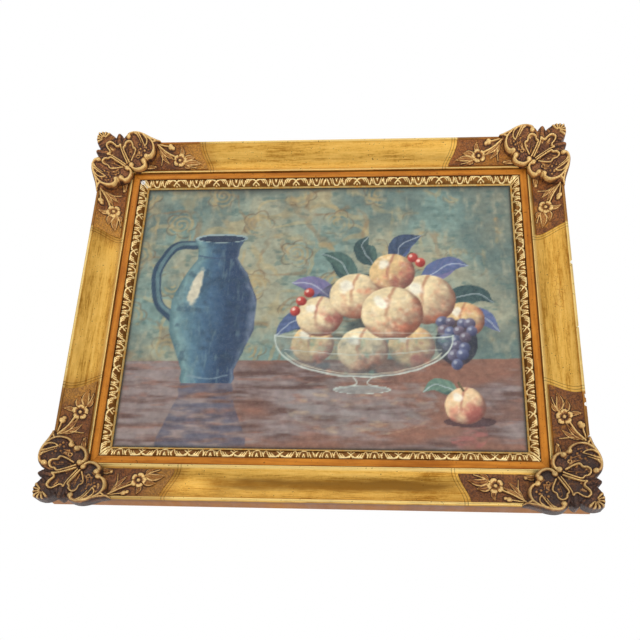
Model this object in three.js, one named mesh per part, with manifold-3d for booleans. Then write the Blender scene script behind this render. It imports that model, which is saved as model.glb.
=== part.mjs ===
// A watercolor in a gilt frame with shell corners, in millimetres.
// Everything is drawn as seen from the front: x right, y up, z from the wall towards the viewer, with
// the middle of the picture at x = y = 0. The last lines stand the drawing upright, with +Z up.
import * as THREE from "three";
import { mergeVertices } from "three/addons/utils/BufferGeometryUtils.js";
import Module from "manifold-3d";

const wasm = await Module();
wasm.setup();

// The opening that shows the picture, and the widths of what surrounds it.
const sightWidth = 408;
const sightHeight = 306;
const slipWidth = 10.6;
const railWidth = 45.4;

// Rail section: a lip along the outer edge, a wide cove, a thin fillet and a flat beside the slip.
const lipHeight = 30;
const lipWidth = 3.4;
const lipDepth = 4;
const lipRounding = 0.9;
const sideInset = 0.8;
const backInset = 0.9;
const coveDrop = 1.4;
const coveFloor = 15.2;
const coveSteps = 6;
const filletHeight = 22.2;
const filletWidth = 1.2;
const flatHeight = 19.7;
const flatWidth = 8.2;
const rebateWidth = 6;
const rebateHeight = 13;

// Slip section: a swelling for the leaf ornament, then a plain lip round the picture.
const slipCrest = 19.6;
const slipShoulder = 18.6;
const sightLipWidth = 2.2;
const sightLipHeight = 15.4;
const sightLipUnderside = 13.9;
const slipBack = 4;
const sheetOverlap = 4.6;

// The sheet and the board behind it.
const sheetThickness = 1.6;
const boardThickness = 3;

// Gaps between pieces.
const mitreGap = 0.3;
const seatGap = 0.3;
const ornamentGap = 0.3;

// Corner casting, in its own frame: p runs right and q down from the frame's outer corner.
// Its carving is drawn at carvingDrawnFor along the lip and grows with groundEndAtLip.
const carvingDrawnFor = 113;
const focus = 31;
const faceAtFocus = 27.5;
const faceClimb = 0.4;
const faceCornerClimb = 0.15;
const tailFrom = 40;
const tailFall = 0.0096;
const rimRoll = 5;
const hookDepth = 4;
const sunkBelowRail = 5;
const bodyCentre = 22;
const overFace = 0.6;
const facetLines = [-14, 32, 46, 58, 74];
const groundRise = 1;
const bareStrip = 3.4;
const rootInGround = 3;
const rootInShell = 4;
const groundFrom = 50;
const groundEndAtLip = 113;
const groundEndAtFillet = 124;
const ribWidth = 2.6;
const ribRise = 2;
const fineRibWidth = 1.9;
const fineRibRise = 1.5;
const stemWidth = 1.8;
const stemRise = 1.8;
const leafRise = 2.2;
const volute = 2.8;
const flowerAt = [89.5, 20.6];
const flowerRadius = 7.2;
const flowerRise = 2.6;
const petalCount = 5;
const petalSides = 2;
const petalNotch = 0.68;
const budRadius = 2.9;
const budRise = 2.4;
const leafSteps = 2;
const innerSteps = 5;
const panelSteps = 7;
const domeSides = 5;
const reliefTolerance = 0.15;
const edgeTolerance = 0.06;

const outerWidth = sightWidth + 2 * (slipWidth + railWidth);
const outerHeight = sightHeight + 2 * (slipWidth + railWidth);
const flatFrom = railWidth - flatWidth;
const rebateFrom = railWidth - rebateWidth;
const carvingScale = groundEndAtLip / carvingDrawnFor;
const slipFrom = railWidth + seatGap;
const sightFrom = railWidth + slipWidth;
const hangFrom = (backInset + rebateFrom) / 2;

const gilt = new THREE.MeshStandardMaterial({ color: 0xd9a441, roughness: 0.42, metalness: 0.6 });
const leafGilt = new THREE.MeshStandardMaterial({ color: 0xc99a4a, roughness: 0.45, metalness: 0.6 });
const bronzed = new THREE.MeshStandardMaterial({ color: 0x7a4a24, roughness: 0.5, metalness: 0.4 });
const paper = new THREE.MeshStandardMaterial({ color: 0x7f8a80, roughness: 0.9, metalness: 0 });
const board = new THREE.MeshStandardMaterial({ color: 0x9a7b55, roughness: 0.95, metalness: 0 });

// A section is a list of [a, h]: a is how far in from the outer edge, and h how far from the wall.

// The cove, from under the lip to the fillet.
function coveCurve() {
  const top = new THREE.Vector2(lipWidth, lipHeight - coveDrop);
  const foot = new THREE.Vector2(flatFrom - filletWidth, filletHeight - 0.3);
  const reach = foot.x - top.x;
  return new THREE.CubicBezierCurve(
    top,
    new THREE.Vector2(top.x + reach * 0.27, (top.y + 2 * coveFloor) / 3 + 0.8),
    new THREE.Vector2(foot.x - reach * 0.25, coveFloor),
    foot,
  );
}

// What shows of the rail from the front, from its outer edge to the slip.
function railFront() {
  return [
    [0, lipHeight - lipDepth + 0.6],
    [0, lipHeight - lipRounding],
    [lipRounding, lipHeight],
    [lipWidth - 0.6, lipHeight],
    ...coveCurve().getPoints(coveSteps).map((point) => [point.x, point.y]),
    [flatFrom - filletWidth / 2, filletHeight],
    [flatFrom - 0.1, filletHeight],
    [flatFrom, flatHeight],
    [railWidth, flatHeight],
  ];
}

function railSection() {
  return [
    [backInset, 0],
    [sideInset, lipHeight - lipDepth],
    ...railFront(),
    [railWidth, rebateHeight],
    [rebateFrom, rebateHeight],
    [rebateFrom, 0],
  ];
}

// What shows of the slip, from the rail to the edge round the picture.
function slipFront() {
  const swell = sightFrom - sightLipWidth - slipFrom;
  return [
    [slipFrom, slipShoulder],
    [slipFrom + swell * 0.12, slipCrest - 0.3],
    [slipFrom + swell * 0.4, slipCrest],
    [slipFrom + swell * 0.72, slipCrest - 1.3],
    [slipFrom + swell, sightLipHeight - 0.4],
    [sightFrom - sightLipWidth * 0.8, sightLipHeight],
    [sightFrom - sightLipWidth * 0.3, sightLipHeight],
    [sightFrom, sightLipHeight - 0.5],
  ];
}

function slipSection() {
  return [
    [rebateFrom + seatGap, slipBack],
    [rebateFrom + seatGap, rebateHeight - seatGap],
    [slipFrom, rebateHeight - seatGap],
    ...slipFront(),
    [sightFrom, sightLipUnderside],
    [sightFrom - sheetOverlap, sightLipUnderside],
    [sightFrom - sheetOverlap, slipBack],
  ];
}

// How far the rail's front lies from the wall, a millimetres in from the outer edge.
function railHeight(a) {
  const line = railFront();
  const next = line.findIndex(([x]) => x > a);
  if (next <= 0) return next < 0 ? flatHeight : lipHeight;
  const [[x0, y0], [x1, y1]] = [line[next - 1], line[next]];
  return THREE.MathUtils.mapLinear(a, x0, x1, y0, y1);
}

// The closed outline of a list of [x, y] points.
function outline(points) {
  return new THREE.Shape(points.map(([x, y]) => new THREE.Vector2(x, y)));
}

// A mitred length of moulding for the top side of the frame.
function mouldingGeometry(section, length, height) {
  const geometry = new THREE.ExtrudeGeometry(outline(section), { depth: 1, steps: 1, bevelEnabled: false });
  const place = geometry.getAttribute("position");
  for (let i = 0; i < place.count; i++) {
    const [a, h, end] = [place.getX(i), place.getY(i), place.getZ(i)];
    place.setXYZ(i, (1 - 2 * end) * (length / 2 - a - mitreGap / 2), height / 2 - a, h);
  }
  return geometry;
}

function solidOf(geometry) {
  const bare = geometry.clone();
  bare.deleteAttribute("normal");
  bare.deleteAttribute("uv");
  const merged = mergeVertices(bare, 1e-4);
  return new wasm.Manifold(
    new wasm.Mesh({
      numProp: 3,
      vertProperties: merged.getAttribute("position").array,
      triVerts: new Uint32Array(merged.index.array),
    }),
  );
}

function geometryOf(solid) {
  const { vertProperties, triVerts, numProp } = solid.getMesh();
  const place = new Float32Array((vertProperties.length / numProp) * 3);
  for (let i = 0; i < place.length / 3; i++) {
    place.set(vertProperties.subarray(i * numProp, i * numProp + 3), i * 3);
  }
  const geometry = new THREE.BufferGeometry();
  geometry.setAttribute("position", new THREE.BufferAttribute(place, 3));
  geometry.setIndex(new THREE.BufferAttribute(new Uint32Array(triVerts), 1));
  geometry.computeVertexNormals();
  return geometry;
}

function middleOf(ring) {
  return [0, 1, 2].map((axis) => ring.reduce((sum, point) => sum + point[axis], 0) / ring.length);
}

// A solid through rings of [x, y, z] points, closed at each end by a fan about a middle point.
function loft(rings, ends = [middleOf(rings[0]), middleOf(rings.at(-1))]) {
  const count = rings[0].length;
  const index = [];
  for (let r = 0; r + 1 < rings.length; r++) {
    for (let i = 0; i < count; i++) {
      const [a, b] = [r * count + i, r * count + ((i + 1) % count)];
      index.push(a, b, b + count, a, b + count, a + count);
    }
  }
  const last = (rings.length - 1) * count;
  const [bottom, top] = [last + count, last + count + 1];
  for (let i = 0; i < count; i++) {
    const next = (i + 1) % count;
    index.push(bottom, next, i, top, last + i, last + next);
  }
  const geometry = new THREE.BufferGeometry();
  geometry.setAttribute("position", new THREE.Float32BufferAttribute([...rings, ends].flat(2), 3));
  geometry.setIndex(index);
  return solidOf(geometry);
}

// The face of the shell: it climbs from the focus to the rim, and falls away along its tails.
function shellHeight(p, q) {
  const [near, far] = [Math.min(p, q), Math.max(p, q)];
  const climb = faceClimb * Math.max(-2, focus - near) + faceCornerClimb * Math.max(0, focus - far);
  return faceAtFocus + climb - tailFall * Math.max(0, far - tailFrom) ** 2;
}

// The stippled ground that the sprays lie on, just over the rail's cove.
function groundHeight(p, q) {
  return railHeight(Math.max(0.01, Math.min(p, q))) + groundRise;
}

function swapped([p, q]) {
  return [q, p];
}

// Points of the drawn carving at their real size.
function drawn(points) {
  return points.map(([p, q]) => [p * carvingScale, q * carvingScale]);
}

// A smooth line through drawn points.
function smooth(points, steps) {
  const line = new THREE.SplineCurve(drawn(points).map(([p, q]) => new THREE.Vector2(p, q)));
  return line.getPoints(steps).map((point) => [point.x, point.y]);
}

// One half of the shell's edge, from the tip on the corner's diagonal to the focus.
function shellHalfEdge() {
  const knob = [[-0.4, -3.8], [3.4, -4.4], [8, -4], [12.6, -2.2], [16.6, 1]];
  const tooth = [[18, -2.4], [20.6, -4], [23.6, -2.4], [25.8, 0.8]];
  const ear = [[27.8, -2.6], [31.6, -5.4], [38, -6.8], [45, -6.2], [52, -4.2], [59, -1.8], [67, -0.4]];
  const earScroll = [[67.4, 1.4], [63, 4.6], [62, 9.6], [60.6, 16], [57.2, 20.6], [53.6, 22]];
  const innerScroll = [[53.2, 25], [53.6, 29.6], [50, 34.8], [45, 37.4], [39.6, 37.2], [36.4, 35.4]];
  return [
    ...smooth(knob, 3),
    ...drawn(tooth),
    ...smooth(ear, 5),
    ...smooth(earScroll, 4),
    ...smooth(innerScroll, 4),
  ];
}

// The shell's face in a few flat facets, over a block that reaches below the rails.
function shellFace(low) {
  const count = facetLines.length - 1;
  const lines = facetLines.map((along) => along * carvingScale);
  const geometry = new THREE.BoxGeometry(1, 1, 1, count, count, 1);
  const place = geometry.getAttribute("position");
  for (let i = 0; i < place.count; i++) {
    const steps = [place.getX(i), place.getY(i)].map((share) => Math.round((share + 0.5) * count));
    const [q, p] = steps.map((step) => lines[step]);
    place.setXYZ(i, p, -q, place.getZ(i) > 0 ? shellHeight(p, q) : low);
  }
  return solidOf(geometry);
}

// The cast body under the shell's ribs: a rolled edge round a face that climbs to the rim.
function shellBody() {
  const half = shellHalfEdge();
  const [corner, notch] = drawn([[-3, -3], [33.6, 33.6]]);
  const edge = [corner, ...half, notch, ...half.map(swapped).reverse()].reverse();
  const ring = (share, drop) =>
    edge.map(([p, q]) => {
      const [x, y] = [p, q].map((along) => bodyCentre + (along - bodyCentre) * share);
      return [x, -y, shellHeight(x, y) - drop];
    });
  const low = coveFloor - sunkBelowRail;
  const foot = edge.map(([p, q]) => [p, -q, low]);
  const heights = [low, shellHeight(bodyCentre, bodyCentre) + 2 * rimRoll];
  const ends = heights.map((height) => [bodyCentre, -bodyCentre, height]);
  const rolled = loft([foot, ring(1, rimRoll), ring(0.93, -overFace)], ends);
  return rolled.intersect(shellFace(low - overFace));
}

// A rounded rib that follows a line of [p, q] points on a surface.
function rib(line, surface, width, rise) {
  const root = surface === shellHeight ? rootInShell : rootInGround;
  const rings = line.map(([p, q], i) => {
    const [p0, q0] = line[Math.max(0, i - 1)];
    const [p1, q1] = line[Math.min(line.length - 1, i + 1)];
    const half = (width / 2) * (i === 0 || i === line.length - 1 ? 0.5 : 1);
    const across = [q1 - q0, p0 - p1].map((run) => (run * half) / Math.hypot(p1 - p0, q1 - q0));
    return sectionAcross([p, q], across, surface, [[-1, -root], [1, -root], [0, rise]]);
  });
  return loft(rings);
}

// A ring across a line: each corner is [share of the half width, height over the surface there].
function sectionAcross([p, q], [acrossP, acrossQ], surface, corners) {
  return corners.map(([share, height]) => {
    const [x, y] = [p + acrossP * share, q + acrossQ * share];
    return [x, -y, surface(x, y) + height];
  });
}

// A low dome on a surface, such as the eye of a scroll, a bud or a petal.
function dome([p, q], surface, radius, rise) {
  const root = surface === shellHeight ? rootInShell : rootInGround;
  const ring = (share, height) =>
    Array.from({ length: domeSides }, (_, i) => {
      const angle = (-2 * Math.PI * i) / domeSides;
      const [x, y] = [p + share * radius * Math.cos(angle), q + share * radius * Math.sin(angle)];
      return [x, -y, surface(x, y) + height];
    });
  const middle = surface(p, q);
  return loft([ring(1, -root), ring(0.86, rise * 0.6)], [[p, -q, middle - root], [p, -q, middle + rise]]);
}

// A leaf with a raised midrib, from its drawn stalk to its drawn tip.
function leaf(stalk, tip, drawnWidth) {
  const [[p0, q0], [p1, q1], [width]] = drawn([stalk, tip, [drawnWidth, 0]]);
  const length = Math.hypot(p1 - p0, q1 - q0);
  const rings = Array.from({ length: leafSteps + 1 }, (_, i) => {
    const t = i / leafSteps;
    const half = (width / 2) * (0.16 + 0.9 * Math.sin(Math.PI * t ** 0.8));
    const at = [THREE.MathUtils.lerp(p0, p1, t), THREE.MathUtils.lerp(q0, q1, t)];
    const across = [((q1 - q0) / length) * half, (-(p1 - p0) / length) * half];
    const corners = [[-1, -rootInGround], [1, -rootInGround], [0, leafRise]];
    return sectionAcross(at, across, groundHeight, corners);
  });
  return loft(rings);
}

// A flower with a lobed outline, hollowed towards its eye.
function flower() {
  const [[p, q]] = drawn([flowerAt]);
  const sides = petalCount * petalSides;
  const ring = (share, height) =>
    Array.from({ length: sides }, (_, i) => {
      const angle = (-2 * Math.PI * i) / sides;
      const reach = share * flowerRadius * (i % petalSides ? 1 : petalNotch);
      const [x, y] = [p + reach * Math.cos(angle), q + reach * Math.sin(angle)];
      return [x, -y, groundHeight(x, y) + height];
    });
  const ends = [-rootInGround, flowerRise * 0.3].map((height) => [p, -q, groundHeight(p, q) + height]);
  const petals = loft([ring(1, -rootInGround), ring(0.9, flowerRise)], ends);
  return [petals, dome([p, q], groundHeight, flowerRadius * 0.3, flowerRise)];
}

// Scrolls, panels, leaf strokes and the eyes of the scrolls on one half of the shell.
function shellHalfRelief() {
  const innerScroll = [[35.2, 30.8], [37.2, 34], [41.6, 35.4], [47.4, 33.4], [50.8, 29.2], [48.8, 25.8]];
  const inner = smooth(innerScroll, innerSteps);
  const outer = smooth([[51.2, 20.4], [56, 18.6], [58.8, 14], [59, 8], [57, 2.6], [52.6, -1.8]], 5);
  const panelLeft = [[32.6, 27.6], [26.6, 16], [26.4, 9.6], [29.4, 5.2], [33, 4.6]];
  const panelRight = [[35.6, 7.2], [37.2, 11.6], [38.8, 14.6], [37.6, 19], [35, 25.4]];
  const panel = smooth([...panelLeft, ...panelRight], panelSteps);
  const rim = smooth([[31.4, -0.8], [35.4, -3.8], [41, -4.4], [48, -3.2], [55, -0.8], [63, 1.6]], 4);
  const eyes = [inner[0], inner.at(-1), outer[0], rim[0]];
  return [
    rib(inner, shellHeight, ribWidth, ribRise),
    rib(outer, shellHeight, ribWidth, ribRise),
    rib(rim, shellHeight, ribWidth, ribRise),
    rib(panel, shellHeight, fineRibWidth, fineRibRise),
    rib(drawn([[39.6, -1.6], [46.4, 10]]), shellHeight, ribWidth, fineRibRise),
    rib(drawn([[46.8, -0.8], [49.4, 8]]), shellHeight, ribWidth, fineRibRise),
    ...eyes.map((at) => dome(at, shellHeight, volute, ribRise + 0.9)),
  ];
}

// A thin skin over the cove that ends in a slanting curve, with the spray on it. It leaves a bare
// gilt strip beside the fillet.
function ground() {
  const fillet = flatFrom - filletWidth;
  const inner = fillet - bareStrip;
  const lines = coveCurve().getPoints(coveSteps).map((point) => point.x);
  const across = [...lines.filter((q) => q < inner - reliefTolerance), inner];
  const low = coveFloor - sunkBelowRail;
  const rings = [0, 0.5, 1].map((share) => {
    const top = across.map((q) => {
      const slant = THREE.MathUtils.smoothstep(q, lipWidth, fillet);
      const end = THREE.MathUtils.lerp(groundEndAtLip, groundEndAtFillet, slant);
      return [THREE.MathUtils.lerp(groundFrom, end, share), -q, groundHeight(end, q)];
    });
    return [...top, [top.at(-1)[0], top.at(-1)[1], low], [top[0][0], top[0][1], low]];
  });
  return loft(rings);
}

// The spray of stems, leaves and one flower along one rail.
function sprayHalf() {
  const [p, q] = flowerAt;
  const flowerStem = smooth([[57, 1], [64, 4.8], [74, 11.6], [p - 3, q - 3]], 3);
  const leafStem = smooth([[p + 3, q + 3], [p + 12, q + 8], [p + 20, q + 10.6]], 2);
  const budStem = drawn([[63, 4.2], [77.5, 6]]);
  const lowStem = smooth([[64, 5], [68.4, 15], [68, 27]], 2);
  const leaves = [
    [[65, 6], [80, 18.5], 5],
    [[p, q - 4], [p + 1.6, q - 16], 4.4],
    [[p + 4, q + 1], [p + 17, q - 3], 6.6],
    [[p + 7, q + 5], [p + 25, q + 5], 6.6],
    [[p + 6, q + 5], [p + 14, q + 11], 4],
  ];
  return [
    ground(),
    rib(flowerStem, groundHeight, stemWidth, stemRise),
    rib(leafStem, groundHeight, stemWidth, stemRise),
    rib(budStem, groundHeight, stemWidth * 0.7, stemRise),
    rib(lowStem, groundHeight, stemWidth * 0.8, stemRise * 0.8),
    dome(drawn([[78.4, 6.2]])[0], groundHeight, budRadius, budRise),
    ...leaves.map(([from, to, width]) => leaf(from, to, width)),
    ...flower(),
  ];
}

// One half of the casting read with p and q exchanged gives the other.
function mirrored(solid) {
  return solid.mirror([1, 1, 0]);
}

// Everything that the casting must stay clear of: both rails and slips, and the air under its overhang.
function cornerClearance() {
  const far = groundEndAtFillet * 1.3;
  const hook = lipHeight - hookDepth;
  const front = [...railFront(), ...slipFront()];
  const grown = front.map(([a, h]) => [a > 0 ? a : -ornamentGap, h + ornamentGap]);
  const section = [[-far, -1], [-far, hook], [-ornamentGap, hook], ...grown, [sightFrom, -1]];
  const bar = new THREE.ExtrudeGeometry(outline(section), { depth: 1, steps: 1, bevelEnabled: false });
  const place = bar.getAttribute("position");
  for (let i = 0; i < place.count; i++) {
    const [a, h, end] = [place.getX(i), place.getY(i), place.getZ(i)];
    place.setXYZ(i, end > 0.5 ? a : far * 2, -a, h);
  }
  const side = solidOf(bar);
  return side.add(mirrored(side));
}

function cornerGeometry() {
  const smallLeaf = leaf([50, 30.4], [63, 30], 5);
  const half = [...shellHalfRelief(), ...sprayHalf(), smallLeaf];
  const middleHalf = [[29.6, 27.6], [21.4, 11.4], [17.4, 9.4], [13.2, 9.4], [9.2, 7.6]];
  const middleLine = smooth([...middleHalf, [7, 7], ...middleHalf.map(swapped).reverse()], 10);
  const middle = rib(middleLine, shellHeight, fineRibWidth, fineRibRise);
  const relief = [...half, ...half.map(mirrored), middle];
  const cast = relief.reduce((all, piece) => all.add(piece), shellBody());
  const clear = cast.simplify(reliefTolerance).subtract(cornerClearance());
  return geometryOf(clear.simplify(edgeTolerance));
}

function named(name, geometry, material) {
  const mesh = new THREE.Mesh(geometry, material);
  mesh.name = name;
  return mesh;
}

// A flat board behind the slip, with its front face at the given height from the wall.
function panelMesh(name, thickness, front, material) {
  const reach = 2 * (sheetOverlap - seatGap);
  const geometry = new THREE.BoxGeometry(sightWidth + reach, sightHeight + reach, thickness);
  const mesh = named(name, geometry, material);
  mesh.position.z = front - thickness / 2;
  return mesh;
}

const drawing = new THREE.Group();
const sides = ["top", "right", "bottom", "left"];
const corners = ["top_left", "top_right", "bottom_right", "bottom_left"];
sides.forEach((side, turn) => {
  const [length, height] = turn % 2 ? [outerHeight, outerWidth] : [outerWidth, outerHeight];
  const rail = named(`rail_${side}`, mouldingGeometry(railSection(), length, height), gilt);
  const slip = named(`sight_slip_${side}`, mouldingGeometry(slipSection(), length, height), leafGilt);
  for (const piece of [rail, slip]) {
    piece.rotation.z = (-turn * Math.PI) / 2;
    drawing.add(piece);
  }
});
const casting = cornerGeometry();
corners.forEach((corner, turn) => {
  const shell = named(`corner_shell_${corner}`, casting, bronzed);
  const [right, low] = [turn === 1 || turn === 2, turn > 1];
  shell.position.set((right ? 1 : -1) * (outerWidth / 2), (low ? -1 : 1) * (outerHeight / 2), 0);
  shell.rotation.z = (-turn * Math.PI) / 2;
  drawing.add(shell);
});
const sheetFront = sightLipUnderside - seatGap;
drawing.add(panelMesh("watercolor_sheet", sheetThickness, sheetFront, paper));
drawing.add(panelMesh("backing_board", boardThickness, sheetFront - sheetThickness - seatGap, board));

// Stand the drawing up against the wall and hang it from the middle of the top rail's back.
drawing.rotation.x = Math.PI / 2;
drawing.position.z = hangFrom - outerHeight / 2;
const framedWatercolor = new THREE.Group();
framedWatercolor.add(drawing);

export default framedWatercolor;
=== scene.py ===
import logging
import math
from dataclasses import dataclass, field
from enum import Enum
from typing import Callable

import bpy
import numpy as np
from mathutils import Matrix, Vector

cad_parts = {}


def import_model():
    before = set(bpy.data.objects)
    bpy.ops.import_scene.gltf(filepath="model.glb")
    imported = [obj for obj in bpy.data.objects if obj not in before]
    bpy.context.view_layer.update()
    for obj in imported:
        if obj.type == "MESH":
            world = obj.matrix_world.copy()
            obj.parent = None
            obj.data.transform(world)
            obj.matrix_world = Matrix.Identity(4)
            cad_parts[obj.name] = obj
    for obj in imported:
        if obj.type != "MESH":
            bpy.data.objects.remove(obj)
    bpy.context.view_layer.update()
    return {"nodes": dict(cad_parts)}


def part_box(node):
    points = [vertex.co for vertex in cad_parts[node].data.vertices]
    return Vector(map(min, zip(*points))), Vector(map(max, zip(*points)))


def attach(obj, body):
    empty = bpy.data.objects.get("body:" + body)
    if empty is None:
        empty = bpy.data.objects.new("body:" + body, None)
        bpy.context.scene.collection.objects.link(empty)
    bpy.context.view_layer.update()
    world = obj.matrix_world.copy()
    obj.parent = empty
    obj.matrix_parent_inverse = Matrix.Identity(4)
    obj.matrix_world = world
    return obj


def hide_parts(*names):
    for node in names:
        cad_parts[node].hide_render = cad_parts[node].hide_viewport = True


log = logging.getLogger("framed_watercolor")

MM = 0.001
Array = np.ndarray
Point = tuple[float, float]
Line = list[Point]
Colour = tuple[float, float, float]
Tint = Colour | Array


class Side(Enum):
    """The four sides of the frame, with the quarter turns that bring the top side to each."""

    TOP = 0
    RIGHT = 1
    BOTTOM = 2
    LEFT = 3


class Corner(Enum):
    """The four corners of the frame, with the quarter turns that bring the top left one to each."""

    TOP_LEFT = 0
    TOP_RIGHT = 1
    BOTTOM_RIGHT = 2
    BOTTOM_LEFT = 3


class Skin(Enum):
    """The painted fruits' skins: a base colour and a blush, as screen values."""

    CREAM_CORAL = ((240, 218, 172), (226, 128, 98))
    CREAM_ROSE = ((240, 218, 172), (206, 108, 100))
    STRAW_CORAL = ((230, 196, 140), (226, 128, 98))
    STRAW_ROSE = ((230, 196, 140), (206, 108, 100))
    PINK = ((240, 206, 160), (210, 104, 96))


# Numbers


def shade(red: int, green: int, blue: int) -> tuple[float, float, float, float]:
    """A linear colour from 8-bit screen values.

    Args:
        red: Red, from 0 to 255.
        green: Green, from 0 to 255.
        blue: Blue, from 0 to 255.

    Returns:
        The linear colour, opaque.
    """
    linear = ((value / 255 / 12.92) if value < 10 else ((value / 255 + 0.055) / 1.055) ** 2.4
              for value in (red, green, blue))
    return (*linear, 1.0)


def ease(value: Array, low: float, high: float) -> Array:
    """A smooth step from 0 at low to 1 at high, for arrays or single numbers."""
    share = np.clip((value - low) / (high - low), 0, 1)
    return share * share * (3 - 2 * share)


def ridge(distance: Array, half_width: float) -> Array:
    """A rounded ridge, 1 on its line and 0 at its half width."""
    return np.sqrt(np.clip(1 - (distance / half_width) ** 2, 0, 1))


def between(first: Tint, second: Tint, share: Array) -> Array:
    """Colours mixed from a first to a second, one row for each share."""
    first = np.asarray(first, float)
    return first + (np.asarray(second, float) - first) * share[:, None]


def spline(points: Line, steps: int = 6) -> Array:
    """A smooth line through points.

    Args:
        points: The places that the line goes through.
        steps: Straight pieces between two neighbouring places.

    Returns:
        The line's places, one row each.
    """
    given = np.array(points, float)
    padded = np.vstack([2 * given[0] - given[1], given, 2 * given[-1] - given[-2]])
    t = np.linspace(0, 1, steps, endpoint=False)[:, None]
    spans = []
    for i in range(len(given) - 1):
        a, b, c, d = padded[i:i + 4]
        spans.append(0.5 * (2 * b + (c - a) * t + (2 * a - 5 * b + 4 * c - d) * t**2
                            + (3 * b - a - 3 * c + d) * t**3))
    return np.vstack([*spans, given[-1:]])


def nearest(x: Array, y: Array, line: Array) -> tuple[Array, Array]:
    """Measures places against a line.

    Args:
        x: The places' first coordinate.
        y: Their second coordinate.
        line: The line's places, one row each.

    Returns:
        Each place's distance to the line, and the share of the line's length at its nearest point.
    """
    lengths = np.hypot(*np.diff(line, axis=0).T)
    starts = np.concatenate([[0], np.cumsum(lengths)])
    best = np.full(x.shape, np.inf)
    share = np.zeros(x.shape)
    for (x0, y0), (x1, y1), length, start in zip(line[:-1], line[1:], lengths, starts):
        if length < 1e-9:
            continue
        along = np.clip(((x - x0) * (x1 - x0) + (y - y0) * (y1 - y0)) / length**2, 0, 1)
        distance = np.hypot(x - x0 - along * (x1 - x0), y - y0 - along * (y1 - y0))
        closer = distance < best
        best = np.where(closer, distance, best)
        share = np.where(closer, (start + along * length) / starts[-1], share)
    return best, share


def mottle(x: Array, y: Array, size: float, seed: int) -> Array:
    """Soft cloudy variation from -1 to 1 whose patches are about size across.

    Args:
        x: The places' first coordinate.
        y: Their second coordinate.
        size: How wide a patch is.
        seed: What the random values start from.

    Returns:
        The value at each place.
    """
    cells = 64
    lattice = np.random.default_rng(seed).uniform(-1, 1, (cells, cells))
    column, row = x / size, y / size
    i, j = np.floor(column).astype(int), np.floor(row).astype(int)
    u, v = ease(column - i, 0, 1), ease(row - j, 0, 1)
    left, right, low, high = i % cells, (i + 1) % cells, j % cells, (j + 1) % cells
    near = lattice[low, left] * (1 - u) + lattice[low, right] * u
    far = lattice[high, left] * (1 - u) + lattice[high, right] * u
    return near * (1 - v) + far * v


def clouds(x: Array, y: Array, size: float, seed: int, layers: int = 3) -> Array:
    """Mottle in several sizes at once, each half the one before."""
    return sum(mottle(x, y, size / 2**k, seed + k) / 2**k for k in range(layers)) / (2 - 2 ** (1 - layers))


# Sizes


@dataclass(frozen=True)
class FrameSizes:
    """Sizes of the frame in millimetres, read from the solids apart from those that can't be measured."""

    width: float
    height: float
    rail_width: float
    lip_height: float
    slip_from: float
    sight_from: float
    centre_z: float
    mitre_gap: float = 0.3
    slip_hidden: float = 6.0
    rebate_height: float = 13.0

    @classmethod
    def from_solids(cls) -> "FrameSizes":
        """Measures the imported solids.

        Returns:
            The sizes.
        """
        (left, _, low), (right, _, _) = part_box("rail_bottom")
        (_, front, inner), (_, _, high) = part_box("rail_top")
        (_, _, slip_inner), (_, _, slip_outer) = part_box("sight_slip_top")
        return cls(
            width=(right - left) / MM + cls.mitre_gap,
            height=(high - low) / MM,
            rail_width=(high - inner) / MM,
            lip_height=-front / MM,
            slip_from=(high - slip_outer) / MM + cls.slip_hidden,
            sight_from=(high - slip_inner) / MM,
            centre_z=(high + low) / 2,
        )

    def along(self, turn: Side | Corner) -> float:
        """The frame's length along a side, or along the side that a corner starts."""
        return self.height if turn.value % 2 else self.width

    def turned(self, turn: Side | Corner, along: Array, inward: Array) -> tuple[Array, Array]:
        """Places of the top side, turned clockwise to where they belong.

        Args:
            turn: The side or corner that they belong to.
            along: Millimetres along the side from its middle.
            inward: Millimetres in from its outer edge.

        Returns:
            Millimetres to the right and up from the picture's middle, seen from the front.
        """
        across = self.width if turn.value % 2 else self.height
        x, y = along, across / 2 - inward
        for _ in range(turn.value):
            x, y = y, -x
        return x, y

    def stand(self, x: Array, y: Array, out: Array) -> Array:
        """Places seen from the front, in millimetres, as places in the part's frame in metres."""
        return np.stack([x * MM, -out * MM, y * MM + self.centre_z], axis=-1)


def ground_end(inward: Array) -> Array:
    """How far from the frame's corner the stippled ground ends, across the cove."""
    return 113 + 11 * ease(inward, 3.4, 36)


# Meshes


def place_vertices(piece: bpy.types.Object, places: Array) -> None:
    """Moves every vertex of a piece to its given place."""
    piece.data.vertices.foreach_set("co", places.astype(np.float32).ravel())
    piece.data.update()


def vertex_places(piece: bpy.types.Object) -> Array:
    """The places of a piece's vertices, one row each.

    Args:
        piece: The piece.

    Returns:
        An array with x, y and z in each row.
    """
    places = np.empty(len(piece.data.vertices) * 3, np.float32)
    piece.data.vertices.foreach_get("co", places)
    return places.reshape(-1, 3).astype(float)


def add_value(piece: bpy.types.Object, name: str, values: Array) -> None:
    """Stores one number for each vertex under a name that the materials read."""
    layer = piece.data.attributes.new(name, "FLOAT", "POINT")
    layer.data.foreach_set("value", np.asarray(values, np.float32).ravel())


def add_values(piece: bpy.types.Object, **values: Array) -> None:
    """Stores several numbers for each vertex by their names."""
    for name, value in values.items():
        add_value(piece, name, value)


def add_vector(piece: bpy.types.Object, name: str, values: Array) -> None:
    """Stores three numbers for each vertex under a name that the materials read."""
    layer = piece.data.attributes.new(name, "FLOAT_VECTOR", "POINT")
    layer.data.foreach_set("vector", np.asarray(values, np.float32).ravel())


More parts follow.
